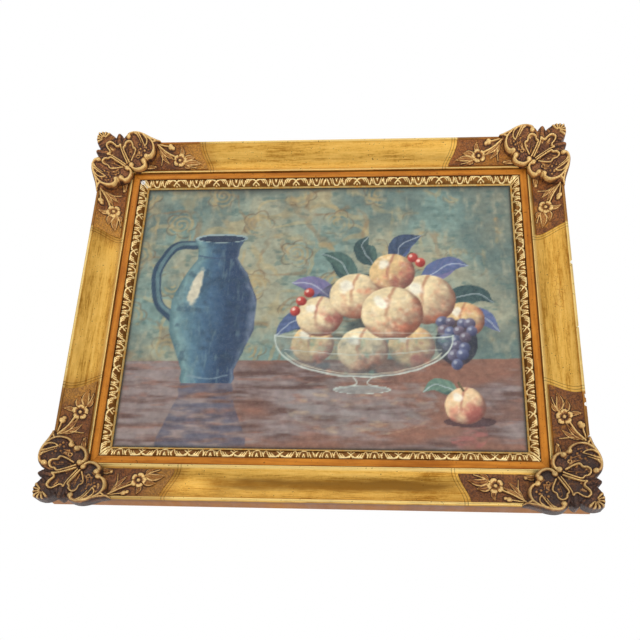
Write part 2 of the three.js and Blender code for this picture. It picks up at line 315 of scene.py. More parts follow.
def finish_piece(piece: bpy.types.Object, name: str, finish: bpy.types.Material) -> None:
    """Names, dresses and registers a finished piece.

    Args:
        piece: The piece.
        name: Its name.
        finish: The material it is dressed in.
    """
    piece.name = name
    piece.data.name = name
    bpy.ops.object.select_all(action="DESELECT")
    bpy.context.view_layer.objects.active = piece
    piece.select_set(True)
    bpy.ops.object.mode_set(mode="EDIT")
    bpy.ops.mesh.select_all(action="SELECT")
    bpy.ops.mesh.remove_doubles(threshold=1e-6)
    bpy.ops.mesh.fill_holes(sides=0)
    bpy.ops.mesh.normals_make_consistent(inside=False)
    bpy.ops.object.mode_set(mode="OBJECT")
    bpy.ops.object.shade_smooth_by_angle(angle=math.radians(50))
    piece.select_set(False)
    piece.data.materials.clear()
    piece.data.materials.append(finish)
    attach(piece, "root")
    log.info("%s: %d faces", name, len(piece.data.polygons))


def sleeve(rim: int, steps: int) -> tuple[bpy.types.Object, Array, Array]:
    """A grid to be rolled round a section into a closed bar.

    Args:
        rim: Points round its section.
        steps: Stretches along its length.

    Returns:
        The grid, and for each vertex its number round the section and its share of the length.
    """
    bpy.ops.object.select_all(action="DESELECT")
    bpy.ops.mesh.primitive_grid_add(x_subdivisions=rim, y_subdivisions=steps, size=2)
    piece = bpy.context.object
    places = vertex_places(piece)
    around = np.rint((places[:, 0] + 1) / 2 * rim).astype(int) % rim
    return piece, around, (places[:, 1] + 1) / 2


def ball(rim: int, rings: int) -> tuple[bpy.types.Object, Array, Array]:
    """A closed ball to be shaped.

    Args:
        rim: Points round each ring.
        rings: Rings from pole to pole.

    Returns:
        The ball, and for each vertex its number round the ring and its ring's number from the bottom.
    """
    bpy.ops.object.select_all(action="DESELECT")
    bpy.ops.mesh.primitive_uv_sphere_add(segments=rim, ring_count=rings, radius=1)
    piece = bpy.context.object
    places = vertex_places(piece)
    ring = np.rint((1 - np.arccos(np.clip(places[:, 2], -1, 1)) / math.pi) * rings).astype(int)
    angle = np.arctan2(places[:, 1], places[:, 0])
    first = angle[np.argmax((ring > 0) & (ring < rings))]
    around = np.rint((angle - first) / (2 * math.pi / rim)).astype(int) % rim
    return piece, around, ring


# Materials. Pattern scales are cells to a metre, and along a rail they run lengthways first.


class Bench:
    """Short calls that build the nodes of one material."""

    def __init__(self, name: str) -> None:
        """Starts a material with its shader.

        Args:
            name: The material's name.
        """
        self.material = bpy.data.materials.new(name)
        self.material.use_nodes = True
        self.tree = self.material.node_tree
        self.shader = self.tree.nodes["Principled BSDF"]

    def add(self, kind: str, inputs: dict, **settings: object) -> bpy.types.Node:
        """Adds a node.

        Args:
            kind: The node's type.
            inputs: Values or sockets by the input's name or number.
            settings: The node's own properties.

        Returns:
            The node.
        """
        node = self.tree.nodes.new(kind)
        for key, value in settings.items():
            setattr(node, key, value)
        for key, value in inputs.items():
            if isinstance(value, bpy.types.NodeSocket):
                self.tree.links.new(value, node.inputs[key])
            else:
                node.inputs[key].default_value = value
        return node

    def place(self) -> bpy.types.NodeSocket:
        """The place on the object."""
        return self.add("ShaderNodeTexCoord", {}).outputs["Object"]

    def read(self, name: str, output: str = "Fac") -> bpy.types.NodeSocket:
        """A value stored on the mesh."""
        return self.add("ShaderNodeAttribute", {}, attribute_name=name).outputs[output]

    def stretched(self, vector: bpy.types.NodeSocket, scale: tuple) -> bpy.types.NodeSocket:
        """A vector with each direction scaled."""
        return self.add("ShaderNodeMapping", {"Vector": vector, "Scale": scale}).outputs[0]

    def noise(self, vector: bpy.types.NodeSocket, scale: float, detail: float = 4) -> bpy.types.NodeSocket:
        """Cloudy noise from 0 to 1."""
        inputs = {"Vector": vector, "Scale": scale, "Detail": detail, "Roughness": 0.6}
        return self.add("ShaderNodeTexNoise", inputs).outputs["Fac"]

    def crackle(self, vector: bpy.types.NodeSocket, scale: float) -> bpy.types.NodeSocket:
        """Fine cracks: 1 on a crack and 0 between them.

        Args:
            vector: Where the pattern is read.
            scale: How many cells there are to a metre.

        Returns:
            The pattern's socket.
        """
        inputs = {"Vector": vector, "Scale": scale}
        node = self.add("ShaderNodeTexVoronoi", inputs, feature="DISTANCE_TO_EDGE")
        return self.window(node.outputs["Distance"], 0.06, 0.0)

    def window(self, value: bpy.types.NodeSocket, low: float, high: float) -> bpy.types.NodeSocket:
        """A value cut to 0 below low and 1 above high."""
        inputs = {"Value": value, "From Min": low, "From Max": high}
        return self.add("ShaderNodeMapRange", inputs, interpolation_type="SMOOTHSTEP").outputs[0]

    def sum(self, operation: str, a: object, b: object) -> bpy.types.NodeSocket:
        """Arithmetic on two values."""
        return self.add("ShaderNodeMath", {0: a, 1: b}, operation=operation).outputs[0]

    def mixed(self, *parts: tuple) -> bpy.types.NodeSocket:
        """The total of (value, weight) parts.

        Args:
            *parts: The values and their weights.

        Returns:
            The total's socket.
        """
        weighed = [self.sum("MULTIPLY", value, weight) for value, weight in parts]
        total = weighed[0]
        for value in weighed[1:]:
            total = self.sum("ADD", total, value)
        return total

    def blend(self, share: object, a: object, b: object, how: str = "MIX") -> bpy.types.NodeSocket:
        """Two colours mixed."""
        node = self.add("ShaderNodeMix", {0: share, 6: a, 7: b}, data_type="RGBA", blend_type=how)
        return node.outputs[2]

    def tint(self, colour: object, tint: object, share: object, strength: float) -> bpy.types.NodeSocket:
        """A colour with another over it, by a share of a strength."""
        return self.blend(self.sum("MULTIPLY", share, strength), colour, tint)

    def colours(self, value: bpy.types.NodeSocket, *stops: tuple) -> bpy.types.NodeSocket:
        """A colour from a value by a ramp of (place, colour) stops.

        Args:
            value: Where on the ramp to read.
            *stops: Places on the ramp and their colours.

        Returns:
            The colour's socket.
        """
        node = self.add("ShaderNodeValToRGB", {0: value})
        ramp = node.color_ramp
        for place, colour in stops[2:]:
            ramp.elements.new(place)
        for element, (place, colour) in zip(ramp.elements, sorted(stops, key=lambda stop: stop[0])):
            element.position = place
            element.color = colour
        return node.outputs[0]

    def wear(self, height: bpy.types.NodeSocket, strength: float, depth: float) -> None:
        """Small relief in the surface."""
        inputs = {"Height": height, "Strength": strength, "Distance": depth}
        self.tree.links.new(self.add("ShaderNodeBump", inputs).outputs[0], self.shader.inputs["Normal"])

    def set(self, **values: object) -> None:
        """Sets or links the shader's inputs by their names, with spaces written as underscores.

        Args:
            **values: Values or sockets by input.
        """
        for key, value in values.items():
            socket = self.shader.inputs[key.replace("_", " ")]
            if isinstance(value, bpy.types.NodeSocket):
                self.tree.links.new(value, socket)
            else:
                socket.default_value = value


@dataclass(frozen=True)
class RailGilding:
    """Worn gilt leaf over orange-brown bole, streaked along the rail."""

    bright: tuple = shade(246, 204, 112)
    leaf: tuple = shade(226, 176, 82)
    rubbed: tuple = shade(176, 122, 40)
    # the colour of the painted highlight
    polished: tuple = shade(255, 234, 160)
    bole: tuple = shade(218, 138, 44)
    bole_dark: tuple = shade(168, 94, 24)
    # the colour of the painted dark reflection
    tarnish: tuple = shade(122, 80, 22)
    toned: tuple = shade(120, 72, 34)
    # the colour of grime specks, the scribed lines and the painted shade in the section's angles
    dirt: tuple = shade(70, 40, 14)
    gesso: tuple = shade(246, 244, 238)
    scribe_half_gap: float = 1.5
    streak_scale: tuple = (12, 210, 1)
    fine_scale: tuple = (70, 900, 1)
    cloud_scale: tuple = (18, 70, 1)
    crackle_shape: tuple = (0.7, 1.2, 1)
    crackle_scale: float = 210.0

    def material(self) -> bpy.types.Material:
        """Builds the material.

        Returns:
            The material.
        """
        bench = Bench("rail_gilding")
        run, leaf = bench.read("run", "Vector"), bench.read("leaf")
        streaks = bench.noise(bench.stretched(run, self.streak_scale), 1.0, 7)
        fine = bench.noise(bench.stretched(run, self.fine_scale), 1.0, 4)
        clouding = bench.noise(bench.stretched(run, self.cloud_scale), 1.0, 4)
        patches = bench.noise(bench.place(), 24, 4)
        specks = bench.noise(bench.place(), 380, 2)
        crackle = bench.crackle(bench.stretched(run, self.crackle_shape), self.crackle_scale)
        crackle = bench.sum("MULTIPLY", crackle, bench.read("crazed"))
        worn = bench.mixed((streaks, 0.42), (fine, 0.3), (patches, 0.2), (specks, 0.12))
        gold = bench.colours(worn, (0.42, self.rubbed), (0.52, self.leaf), (0.66, self.bright))
        # painted highlight on the strip beside the fillet and on the lip's top
        gold = bench.tint(gold, self.polished, bench.read("polish"), 0.75)
        rubbing = bench.mixed((streaks, 0.6), (patches, 0.4))
        bole = bench.colours(rubbing, (0.4, self.bole_dark), (0.6, self.bole))
        colour = bench.blend(leaf, bole, gold)
        colour = bench.tint(colour, self.bole_dark, crackle, 0.6)
        colour = bench.tint(colour, self.dirt, bench.window(specks, 0.66, 0.72), 0.7)
        toned = bench.blend(bench.window(patches, 0.35, 0.65), self.toned, self.bole_dark)
        # toning near the corners, partly painted shade that differs by side
        colour = bench.blend(bench.read("toned"), colour, toned)
        # painted shade in the section's angles, under the lip and down the rail's sides
        colour = bench.blend(bench.read("dirt"), colour, self.dirt)
        # painted dark reflection along the bottom rail's cove
        tarnish = bench.mixed((bench.read("tarnish"), 1.0), (streaks, 0.5), (clouding, 1.6))
        colour = bench.tint(colour, self.tarnish, bench.window(tarnish, 1.1, 2.1), 0.9)
        colour = bench.tint(colour, self.dirt, self.scribed(bench, leaf), 0.55)
        chip = bench.window(bench.mixed((bench.read("chip"), 1.0), (fine, 0.4)), 0.62, 0.74)
        colour = bench.blend(chip, colour, self.gesso)
        metal = bench.sum("MULTIPLY", bench.sum("SUBTRACT", 1.0, chip), bench.window(leaf, -0.6, 1.2))
        bench.set(Base_Color=colour, Metallic=bench.sum("MULTIPLY", metal, 0.8),
                  Roughness=bench.window(worn, 0.0, 1.1), Specular_IOR_Level=0.2)
        bench.wear(bench.mixed((fine, 1.0), (streaks, 1.0), (crackle, -1.0)), 0.2, 0.0004)
        return bench.material

    def scribed(self, bench: Bench, leaf: bpy.types.NodeSocket) -> bpy.types.NodeSocket:
        """The pair of scribed lines beside each corner, where there is leaf.

        Args:
            bench: The material's bench.
            leaf: How much leaf there is.

        Returns:
            The lines' socket.
        """
        away = bench.sum("SUBTRACT", bench.sum("ABSOLUTE", bench.read("scribe"), 0), self.scribe_half_gap)
        line = bench.window(bench.sum("ABSOLUTE", away, 0), 0.55, 0.2)
        return bench.sum("MULTIPLY", line, bench.window(leaf, 0.5, 1.0))


@dataclass(frozen=True)
class CastToning:
    """Casting with brown toning and gilt rubbed on its high edges, darker towards the frame's foot."""

    gilt: tuple = shade(246, 206, 134)
    rubbed: tuple = shade(176, 116, 56)
    brown: tuple = shade(176, 114, 66)
    red: tuple = shade(132, 80, 48)
    deep: tuple = shade(52, 32, 24)
    soot: tuple = shade(60, 44, 38)
    ground: tuple = shade(164, 98, 42)
    ground_dark: tuple = shade(102, 58, 28)
    ground_bare: tuple = shade(196, 128, 44)
    ground_thin: tuple = shade(208, 146, 58)

    def material(self) -> bpy.types.Material:
        """Builds the material.

        Returns:
            The material.
        """
        bench = Bench("cast_toning")
        place = bench.place()
        patches = bench.noise(place, 60, 4)
        grain = bench.noise(place, 620, 3)
        pits = bench.window(grain, 0.56, 0.4)
        rubbing = bench.mixed((patches, 0.6), (grain, 0.4))
        body = bench.colours(rubbing, (0.38, self.deep), (0.47, self.red), (0.62, self.brown))
        hollow = bench.mixed((bench.read("hollow"), 1.0), (grain, 0.9))
        body = bench.tint(body, self.deep, bench.window(hollow, 0.9, 1.7), 0.45)
        bare = bench.window(bench.noise(place, 34, 3), 0.5, 0.66)
        floor = bench.colours(rubbing, (0.4, self.ground_dark), (0.6, self.ground))
        floor = bench.tint(floor, self.ground_bare, bare, 0.7)
        thin = bench.window(bench.mixed((bench.read("thin"), 1.0), (patches, 0.8)), 0.55, 1.3)
        floor = bench.tint(floor, self.ground_thin, thin, 0.85)
        body = bench.blend(bench.read("floor"), body, floor)
        body = bench.tint(body, self.deep, pits, 0.4)
        # darker towards the frame's foot
        soot = bench.sum("MULTIPLY", bench.read("soot"), bench.window(patches, 0.3, 0.6))
        kept = bench.sum("SUBTRACT", 1.0, bench.sum("MULTIPLY", bench.read("floor"), 0.7))
        soot = bench.sum("MULTIPLY", soot, kept)
        body = bench.blend(soot, body, self.soot)
        # painted shade beside each raised form
        crease = bench.window(bench.mixed((bench.read("crease"), 1.0), (patches, 0.3)), 0.2, 1.0)
        body = bench.tint(body, self.deep, crease, 0.85)
        rubs = bench.mixed((bench.noise(place, 110, 3), 0.9), (bench.noise(place, 420, 3), 0.5))
        edge = bench.mixed((bench.read("crest"), 1.0), (rubs, 1.0), (bench.read("soot"), -0.06))
        edge = bench.sum("SUBTRACT", edge, 0.65)
        colour = bench.blend(bench.window(edge, 0.05, 0.5), body, self.rubbed)
        gilt = bench.window(edge, 0.35, 0.85)
        colour = bench.blend(gilt, colour, self.gilt)
        colour = bench.tint(colour, self.soot, soot, 0.35)
        bench.set(Base_Color=colour, Metallic=bench.sum("MULTIPLY", gilt, 0.45), Roughness=0.38,
                  Specular_IOR_Level=0.3)
        relief = bench.mixed((grain, 1.0), (patches, 1.0), (pits, -0.8))
        bench.wear(relief, 0.55, 0.0006)
        return bench.material


@dataclass(frozen=True)
class SlipGilding:
    """Gilt leaf ornament with dark toning in its hollows and a plain pale lip."""

    crest: tuple = shade(255, 228, 164)
    face: tuple = shade(190, 134, 52)
    hollow: tuple = shade(112, 68, 18)
    lip: tuple = shade(190, 160, 98)
    gesso: tuple = shade(240, 238, 232)

    def material(self) -> bpy.types.Material:
        """Builds the material.

        Returns:
            The material.
        """
        bench = Bench("slip_gilding")
        place = bench.place()
        wear = bench.noise(place, 240, 4)
        height = bench.mixed((bench.read("crest"), 1.0), (wear, 0.36))
        colour = bench.colours(height, (0.16, self.hollow), (0.4, self.face), (0.95, self.crest))
        lip = bench.blend(bench.window(wear, 0.3, 0.62), self.face, self.lip)
        colour = bench.blend(bench.read("lip"), colour, lip)
        chip = bench.window(bench.mixed((bench.read("chip"), 1.0), (wear, 0.5)), 0.6, 0.72)
        colour = bench.blend(chip, colour, self.gesso)
        metal = bench.sum("MULTIPLY", bench.sum("SUBTRACT", 1.0, chip), 0.6)
        bench.set(Base_Color=colour, Metallic=metal, Roughness=0.42)
        bench.wear(wear, 0.2, 0.0003)
        return bench.material


@dataclass(frozen=True)
class PaperWash:
    """Watercolor on matt paper with a little grain."""

    pale: tuple = shade(226, 220, 200)
    dry: tuple = shade(70, 70, 72)

    def material(self) -> bpy.types.Material:
        """Builds the material.

        Returns:
            The material.
        """
        bench = Bench("paper_wash")
        place = bench.place()
        tooth = bench.noise(place, 1500, 3)
        bloom = bench.noise(place, 90, 5)
        colour = bench.tint(bench.read("paint", "Color"), self.pale, bench.window(tooth, 0.5, 0.75), 0.1)
        dry = bench.sum("MULTIPLY", bench.window(bloom, 0.42, 0.7), 0.12)
        colour = bench.blend(dry, colour, self.dry, "MULTIPLY")
        bench.set(Base_Color=colour, Roughness=0.82)
        bench.wear(tooth, 0.3, 0.0002)
        return bench.material


@dataclass(frozen=True)
class BareBoard:
    """Plain aged board behind the picture."""

    light: tuple = shade(172, 138, 98)
    dark: tuple = shade(118, 88, 58)

    def material(self) -> bpy.types.Material:
        """Builds the material.

        Returns:
            The material.
        """
        bench = Bench("bare_board")
        grain = bench.noise(bench.stretched(bench.place(), (6, 60, 130)), 1.0, 6)
        colour = bench.colours(grain, (0.34, self.dark), (0.68, self.light))
        bench.set(Base_Color=colour, Roughness=0.8)
        bench.wear(grain, 0.3, 0.0006)
        return bench.material


# The gilt rails


@dataclass
class Moulding:
    """The four mitred rails, with their wear and chips.

    Distances are millimetres: a section place is (in from the outer edge, out from the wall), and a
    place on a rail is (along from its middle, in, out).
    """

    sizes: FrameSizes
    lip_width: float = 3.4
    lip_depth: float = 4.0
    side_inset: float = 0.8
    back_inset: float = 0.9
    cove_drop: float = 1.4
    cove_floor: float = 15.2
    cove_points: int = 26
    fillet_height: float = 22.2
    fillet_width: float = 1.2
    flat_height: float = 19.7
    flat_width: float = 8.2
    bare_strip: float = 3.4
    rebate_width: float = 6.0
    step: float = 1.4
    pattern_shift: float = 700.0
    scribe_from: float = 4.4
    toned_fade: float = 0.45
    fade_length: float = 20.0
    # toning strength per side, partly painted shade: nearly none on the lit bottom lip
    toned_lips: tuple = ((Side.TOP, 0.9), (Side.RIGHT, 0.8), (Side.LEFT, 0.85), (Side.BOTTOM, 0.1))
    chips: tuple = (
        (Side.RIGHT, (101.0, 0.7, 29.7), (2.0, 1.0, 1.2)),
        (Side.RIGHT, (109.5, 1.0, 29.7), (2.2, 1.7, 1.4)),
        (Side.RIGHT, (143.0, 0.7, 29.6), (2.2, 1.5, 1.4)),
        (Side.RIGHT, (-46.5, 0.6, 29.7), (2.4, 1.5, 1.3)),
        (Side.RIGHT, (27.0, 0.4, 29.6), (1.2, 0.9, 1.0)),
        (Side.BOTTOM, (153.0, 0.6, 3.0), (2.6, 2.0, 3.0)),
        (Side.TOP, (-32.5, 18.0, 16.5), (0.6, 3.4, 2.6)),
    )
    crazing: Point = (-15.0, 15.0)
    crazing_reach: Point = (26.0, 9.0)
    tarnish_middle: float = -20.0
    tarnish_reach: float = 178.0

    @property
    def flat_from(self) -> float:
        """Where the flat beside the slip starts, in from the outer edge."""
        return self.sizes.rail_width - self.flat_width

    def cove(self, count: int) -> Array:
        """The hollow between the lip and the fillet, as count section places.

        Args:
            count: How many places.

        Returns:
            The section places.
        """
        top = np.array([self.lip_width, self.sizes.lip_height - self.cove_drop])
        foot = np.array([self.flat_from - self.fillet_width, self.fillet_height - 0.3])
        reach = foot[0] - top[0]
        first = np.array([top[0] + reach * 0.27, (top[1] + 2 * self.cove_floor) / 3 + 0.8])
        second = np.array([foot[0] - reach * 0.25, self.cove_floor])
        t = np.linspace(0, 1, count)[:, None]
        return (1 - t)**3 * top + 3 * (1 - t)**2 * t * first + 3 * (1 - t) * t**2 * second + t**3 * foot

    def front(self) -> Array:
        """What shows of the section from the front, from the outer edge to the slip.

        Returns:
            The section places.
        """
        lip, start, width = self.sizes.lip_height, self.flat_from, self.sizes.rail_width
        head = [(0, lip - self.lip_depth + 0.6), (0, lip - 1.4), (0.25, lip - 0.6), (0.9, lip),
                (1.8, lip + 0.05), (self.lip_width - 0.7, lip), (self.lip_width - 0.25, lip - 0.5)]
        fillet = [(start - 1.0, self.fillet_height), (start - 0.35, self.fillet_height),
                  (start - 0.08, self.fillet_height - 0.4)]
        flat = [(place, self.flat_height)
                for place in (start, start + 0.5, start + 1.0, start + 1.6, width - 1.4, width - 0.4)]
        flat.append((width, self.flat_height - 0.3))
        return np.vstack([head, self.cove(self.cove_points), fillet, flat])

    def surface(self, inward: Array) -> Array:
        """How far the rail's front stands from the wall at a distance in from the outer edge."""
        line = self.front()
        return np.interp(inward, line[:, 0] + np.arange(len(line)) * 1e-6, line[:, 1])

    def section(self) -> Array:
        """The whole section, once round.

        Returns:
            The section places.
        """
        width, lip = self.sizes.rail_width, self.sizes.lip_height
        side = [(self.back_inset, 0), (self.side_inset + 0.3, 14), (self.side_inset, lip - self.lip_depth)]
        back = [(width, self.sizes.rebate_height), (width - self.rebate_width, self.sizes.rebate_height),
                (width - self.rebate_width, 0)]
        return np.vstack([side, self.front(), back])

    def leaf_cover(self, inward: Array, out: Array) -> Array:
        """How much gilt leaf is left, from 0 on the bole to 1 on the cove and lip.

        Args:
            inward: Millimetres in from the outer edge.
            out: Millimetres out from the wall.

        Returns:
            The share of leaf.
        """
        on_lip = out > self.sizes.lip_height - self.lip_depth + 0.4
        gilt = (inward < self.flat_from + 0.2) & (on_lip | (inward > self.lip_width))
        return np.where(gilt, 1.0, 0.05)

    def polish(self, inward: Array) -> Array:
        """Painted highlight: how much brighter the strip beside the fillet and the lip's top are painted,
        where they catch the light.

        Args:
            inward: Millimetres in from the outer edge.

        Returns:
            The share of painted highlight.
        """
        fillet_from = self.flat_from - self.fillet_width
        strip = ease(inward, fillet_from - self.bare_strip, fillet_from)
        return np.maximum(strip * (inward < self.flat_from - 0.2), 0.7 * (np.abs(inward - 1.7) < 1.2))

    def dirt(self, inward: Array, out: Array) -> Array:
        """Painted shade in the angles of the section, under the lip and down its sides.

        Args:
            inward: Millimetres in from the outer edge.
            out: Millimetres out from the wall.

        Returns:
            The share of painted shade.
        """
        in_corner = (inward > self.flat_from - 0.3) & (out < self.fillet_height - 1)
        angle = 0.85 * ease(self.flat_from + 1.5 - inward, 0, 1) * in_corner
        angle += np.exp(-(((inward - self.sizes.rail_width) / 0.5) ** 2)) * 0.8
        lip = self.sizes.lip_height
        under_lip = (out < lip - self.lip_depth + 1.2) & (out > lip - 7) & (inward < 3)
        on_side = (inward < 1.4) * (out < 20)
        return np.clip(angle + np.where(under_lip, 0.75, 0.4 * on_side), 0, 1)

    def tarnish(self, side: Side, along: Array, inward: Array) -> Array:
        """A painted dark reflection: a brown band in the lower rail's cove that fades at its ends.

        Args:
            side: The side of the frame.
            along: Millimetres along the side from its middle.
            inward: Millimetres in from the outer edge.

        Returns:
            The share of the painted dark reflection.
        """
        across = ease(inward, 6, 19) * ease(31 - inward, 0, 11)
        lengthways = ease(self.tarnish_reach - np.abs(along - self.tarnish_middle), 0, 110)
        return across * lengthways * (side is Side.BOTTOM)

    def crazed(self, side: Side, along: Array, inward: Array) -> Array:
        """Where the right rail's gilding is finely cracked.

        Args:
            side: The side of the frame.
            along: Millimetres along the side from its middle.
            inward: Millimetres in from the outer edge.

        Returns:
            The share of cracking.
        """
        off = np.hypot((along - self.crazing[0]) / self.crazing_reach[0],
                       (inward - self.crazing[1]) / self.crazing_reach[1])
        return ease(off, 1.1, 0.5) * (side is Side.RIGHT)

    def toned(self, side: Side, x: Array, inward: Array, out: Array, past_ground: Array) -> Array:
        """Brown toning that runs out from under the corners, further on the frame's left. Its strength on
        each lip is set per side, nearly none on the bottom lip, which catches the light, so part of it is
        painted shade.

        Args:
            side: The side that the rail is on.
            x: Millimetres to the right of the picture's middle.
            inward: Millimetres in from the outer edge.
            out: Millimetres out from the wall.
            past_ground: Millimetres past the end of the corner's ground.

        Returns:
            The toning's share at each place.
        """
        tone = dict(self.toned_lips)[side] * ease(0.8 - past_ground, 0, 1.6)
        tone = np.maximum(tone, self.toned_fade * ease(-past_ground, -self.fade_length, 0) * (x < 0))
        tone = tone * (inward < self.flat_from - 2 * self.fillet_width)
        return tone * np.where(inward < 1.4, ease(out, 10, 22), out > 4)

    def chip(self, side: Side, along: Array, inward: Array, out: Array) -> Array:
        """White gesso where the gilding is knocked off.

        Args:
            side: The side of the frame.
            along: Millimetres along the side from its middle.
            inward: Millimetres in from the outer edge.
            out: Millimetres out from the wall.

        Returns:
            The share of gesso.
        """
        bare = np.zeros(along.shape)
        for chip_side, centre, reach in self.chips:
            if chip_side is side:
                off = sum(((place - middle) / size) ** 2
                          for place, middle, size in zip((along, inward, out), centre, reach))
                bare = np.maximum(bare, ease(1.2 - off, 0, 0.5))
        return bare

    def build(self, finish: bpy.types.Material) -> None:
        """Makes the four rails.

        Args:
            finish: The material it is dressed in.
        """
        section = self.section()
        for side in Side:
            self.rail(side, section, finish)

    def rail(self, side: Side, section: Array, finish: bpy.types.Material) -> None:
        """Makes one rail.

        Args:
            side: The side of the frame.
            section: The section's places, once round.
            finish: The material it is dressed in.
        """
        length = self.sizes.along(side)
        piece, around, share = sleeve(len(section), round(length / self.step))
        inward, out = section[around].T
        along = (2 * share - 1) * (length / 2 - inward - self.sizes.mitre_gap / 2)
        x, y = self.sizes.turned(side, along, inward)
        place_vertices(piece, self.sizes.stand(x, y, out))
        run = np.stack([along + self.pattern_shift * side.value, inward, out * 0], axis=-1) * MM
        add_vector(piece, "run", run)
        past_ground = length / 2 - np.abs(along) - ground_end(inward)
        add_values(piece, leaf=self.leaf_cover(inward, out), dirt=self.dirt(inward, out),
                   polish=self.polish(inward), tarnish=self.tarnish(side, along, inward),
                   crazed=self.crazed(side, along, inward), chip=self.chip(side, along, inward, out),
                   scribe=past_ground - self.scribe_from,
                   toned=self.toned(side, x, inward, out, past_ground))
        finish_piece(piece, f"gilt_rail_{side.name.lower()}", finish)
        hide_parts(f"rail_{side.name.lower()}")


# The leaf-ornamented slip


@dataclass
class SightSlip:
    """The four mitred strips round the picture: leaf ornament, then a plain lip."""

    sizes: FrameSizes
    crest: float = 19.6
    shoulder: float = 18.6
    lip_width: float = 2.2
    lip_height: float = 15.4
    lip_underside: float = 13.9
    back: float = 4.0
    seat_gap: float = 0.3
    sheet_overlap: float = 4.6
    relief: float = 1.1
    step: float = 0.6
    long_crossings: tuple = (34.5, 80.2, 126.0, 172.0)
    short_crossings: tuple = (23.2, 69.6, 116.0)
    wide_gap: float = 60.0
    pair_shift: float = 11.3
    inner_reach: float = 11.4

    @property
    def swell(self) -> float:
        """The width of the leaf ornament."""
        return self.sizes.sight_from - self.lip_width - self.sizes.slip_from

    def front(self) -> Array:
        """The slip's face before its leaves are raised, from the rail to the picture.

        Returns:
            The section places.
        """
        shape = np.array([(0, self.shoulder), (0.12, self.crest - 0.3), (0.4, self.crest),
                          (0.72, self.crest - 1.3), (1, self.lip_height - 0.4)])
        share = np.linspace(0, 1, 26)
        inward = self.sizes.slip_from + share * self.swell
        swelling = np.stack([inward, np.interp(share, shape[:, 0], shape[:, 1])], axis=-1)
        lip = [(self.sizes.sight_from - self.lip_width * share, self.lip_height + rise)
               for share, rise in ((0.85, 0), (0.65, 0.1), (0.1, -0.8), (0, -1.1))]
        return np.vstack([swelling, lip])

    def section(self) -> Array:
        """The whole section, once round.

        Returns:
            The section places.
        """
        outer = self.sizes.slip_from - self.sizes.slip_hidden
        sight = self.sizes.sight_from
        inner = sight - self.sheet_overlap
        seat = self.sizes.rebate_height - self.seat_gap
        head = [(outer, self.back), (outer, seat), (self.sizes.slip_from, seat)]
        tail = [(sight, self.lip_underside), (inner, self.lip_underside), (inner, self.back)]
        return np.vstack([head, self.front(), tail])

    def crossings(self, side: Side) -> Array:
        """Where ribbons cross along a side, measured from its middle."""
        half = self.long_crossings if side in (Side.TOP, Side.BOTTOM) else self.short_crossings
        return np.array([-place for place in reversed(half)] + list(half))

    def leaves(self, side: Side, along: Array, across: Array) -> Array:
        """The leaf pattern's height from 0 to 1.

        Args:
            side: The side that the strip is on.
            along: Millimetres from the middle of the side.
            across: Millimetres from the rail towards the picture.

        Returns:
            The height at each place.
        """
        crossings = self.crossings(side)
        gaps = np.diff(crossings)
        centres = crossings[:-1] + gaps / 2
        wide = centres[gaps >= self.wide_gap]
        end = float(np.median(gaps)) / 2
        middles = [*centres[gaps < self.wide_gap], *(wide - self.pair_shift), *(wide + self.pair_shift),
                   crossings[0] - end, crossings[-1] + end]
        height = np.zeros(along.shape)
        for place in crossings:
            near = np.abs(along - place) < 4
            height[near] = np.maximum(height[near], self.ribbon_cross(along[near] - place, across[near]))
        for place in middles:
            offset = along - place
            for way in (-1, 1):
                inner = any(abs(place - centre) < 12 and way * (centre - place) > 0 for centre in wide)
                reach = self.inner_reach if inner else end
                near = (way * offset >= 0) & (np.abs(offset) < reach - 0.2)
                fan = self.spray(np.abs(offset[near]), across[near], reach)
                height[near] = np.maximum(height[near], fan)
        return height

    @staticmethod
    def ribbon_cross(s: Array, c: Array) -> Array:
        """Two short ribbons that cross, with a bead at their foot.

        Args:
            s: Millimetres along from the motif's middle.
            c: Millimetres across from the rail.

        Returns:
            Its height from 0 to 1.
        """
        ribbons = [np.array([(-3.2 * way, 6.9), (0, 3.9), (1.8 * way, 1.0)]) for way in (1, -1)]
        arms = np.max([ridge(nearest(s, c, ribbon)[0], 0.68) for ribbon in ribbons], axis=0)
        return np.maximum(arms, 0.9 * ridge(np.hypot(s, c - 7.4), 0.85))

    @staticmethod
    def spray(s: Array, c: Array, reach: float) -> Array:
        """Half of a fan of leaves, from its arched middle out to a long foot that ends by a crossing.

        Args:
            s: Millimetres along from the motif's middle.
            c: Millimetres across from the rail.
            reach: Millimetres that the motif is long.

        Returns:
            Its height from 0 to 1.
        """
        strokes = [
            ([(0.9, 1.2), (0, 4.6)], 0.75, 0.4),
            ([(4.5, 1.3), (3.8, 4.4), (2.4, 7.2), (0, 8.2)], 0.68, 0.0),
            ([(7.0, 1.2), (5.8, 4.0), (4.8, 6.6)], 0.8, 0.4),
        ]
        if reach > 14:
            strokes += [
                ([(7.0, 3.4), (7.4, 6.4), (8.8, 7.6), (10.0, 6.0), (10.6, 4.0), (12.2, 1.6)], 0.66, 0.0),
                ([(14.8, 1.4), (13.1, 3.2), (12.0, 5.6)], 0.9, 0.4),
                ([(17.0, 1.6), (15.4, 3.2), (14.4, 5.0)], 0.75, 0.4),
                ([(12.4, 0.9), (16.4, 0.8), (19.4, 1.0), (21.0, 2.2)], 1.0, 0.2),
            ]
        else:
            strokes += [([(11.2, 1.4), (9.6, 4.2), (8.2, 7.2)], 1.1, 0.4)]
        heights = []
        for points, half_width, taper in strokes:
            distance, share = nearest(s, c, spline(points))
            heights.append(ridge(distance / (1 - taper * share), half_width))
        return np.max(heights, axis=0)

    def build(self, finish: bpy.types.Material) -> None:
        """Makes the four strips.

        Args:
            finish: The material it is dressed in.
        """
        section = self.section()
        for side in Side:
            self.strip(side, section, finish)

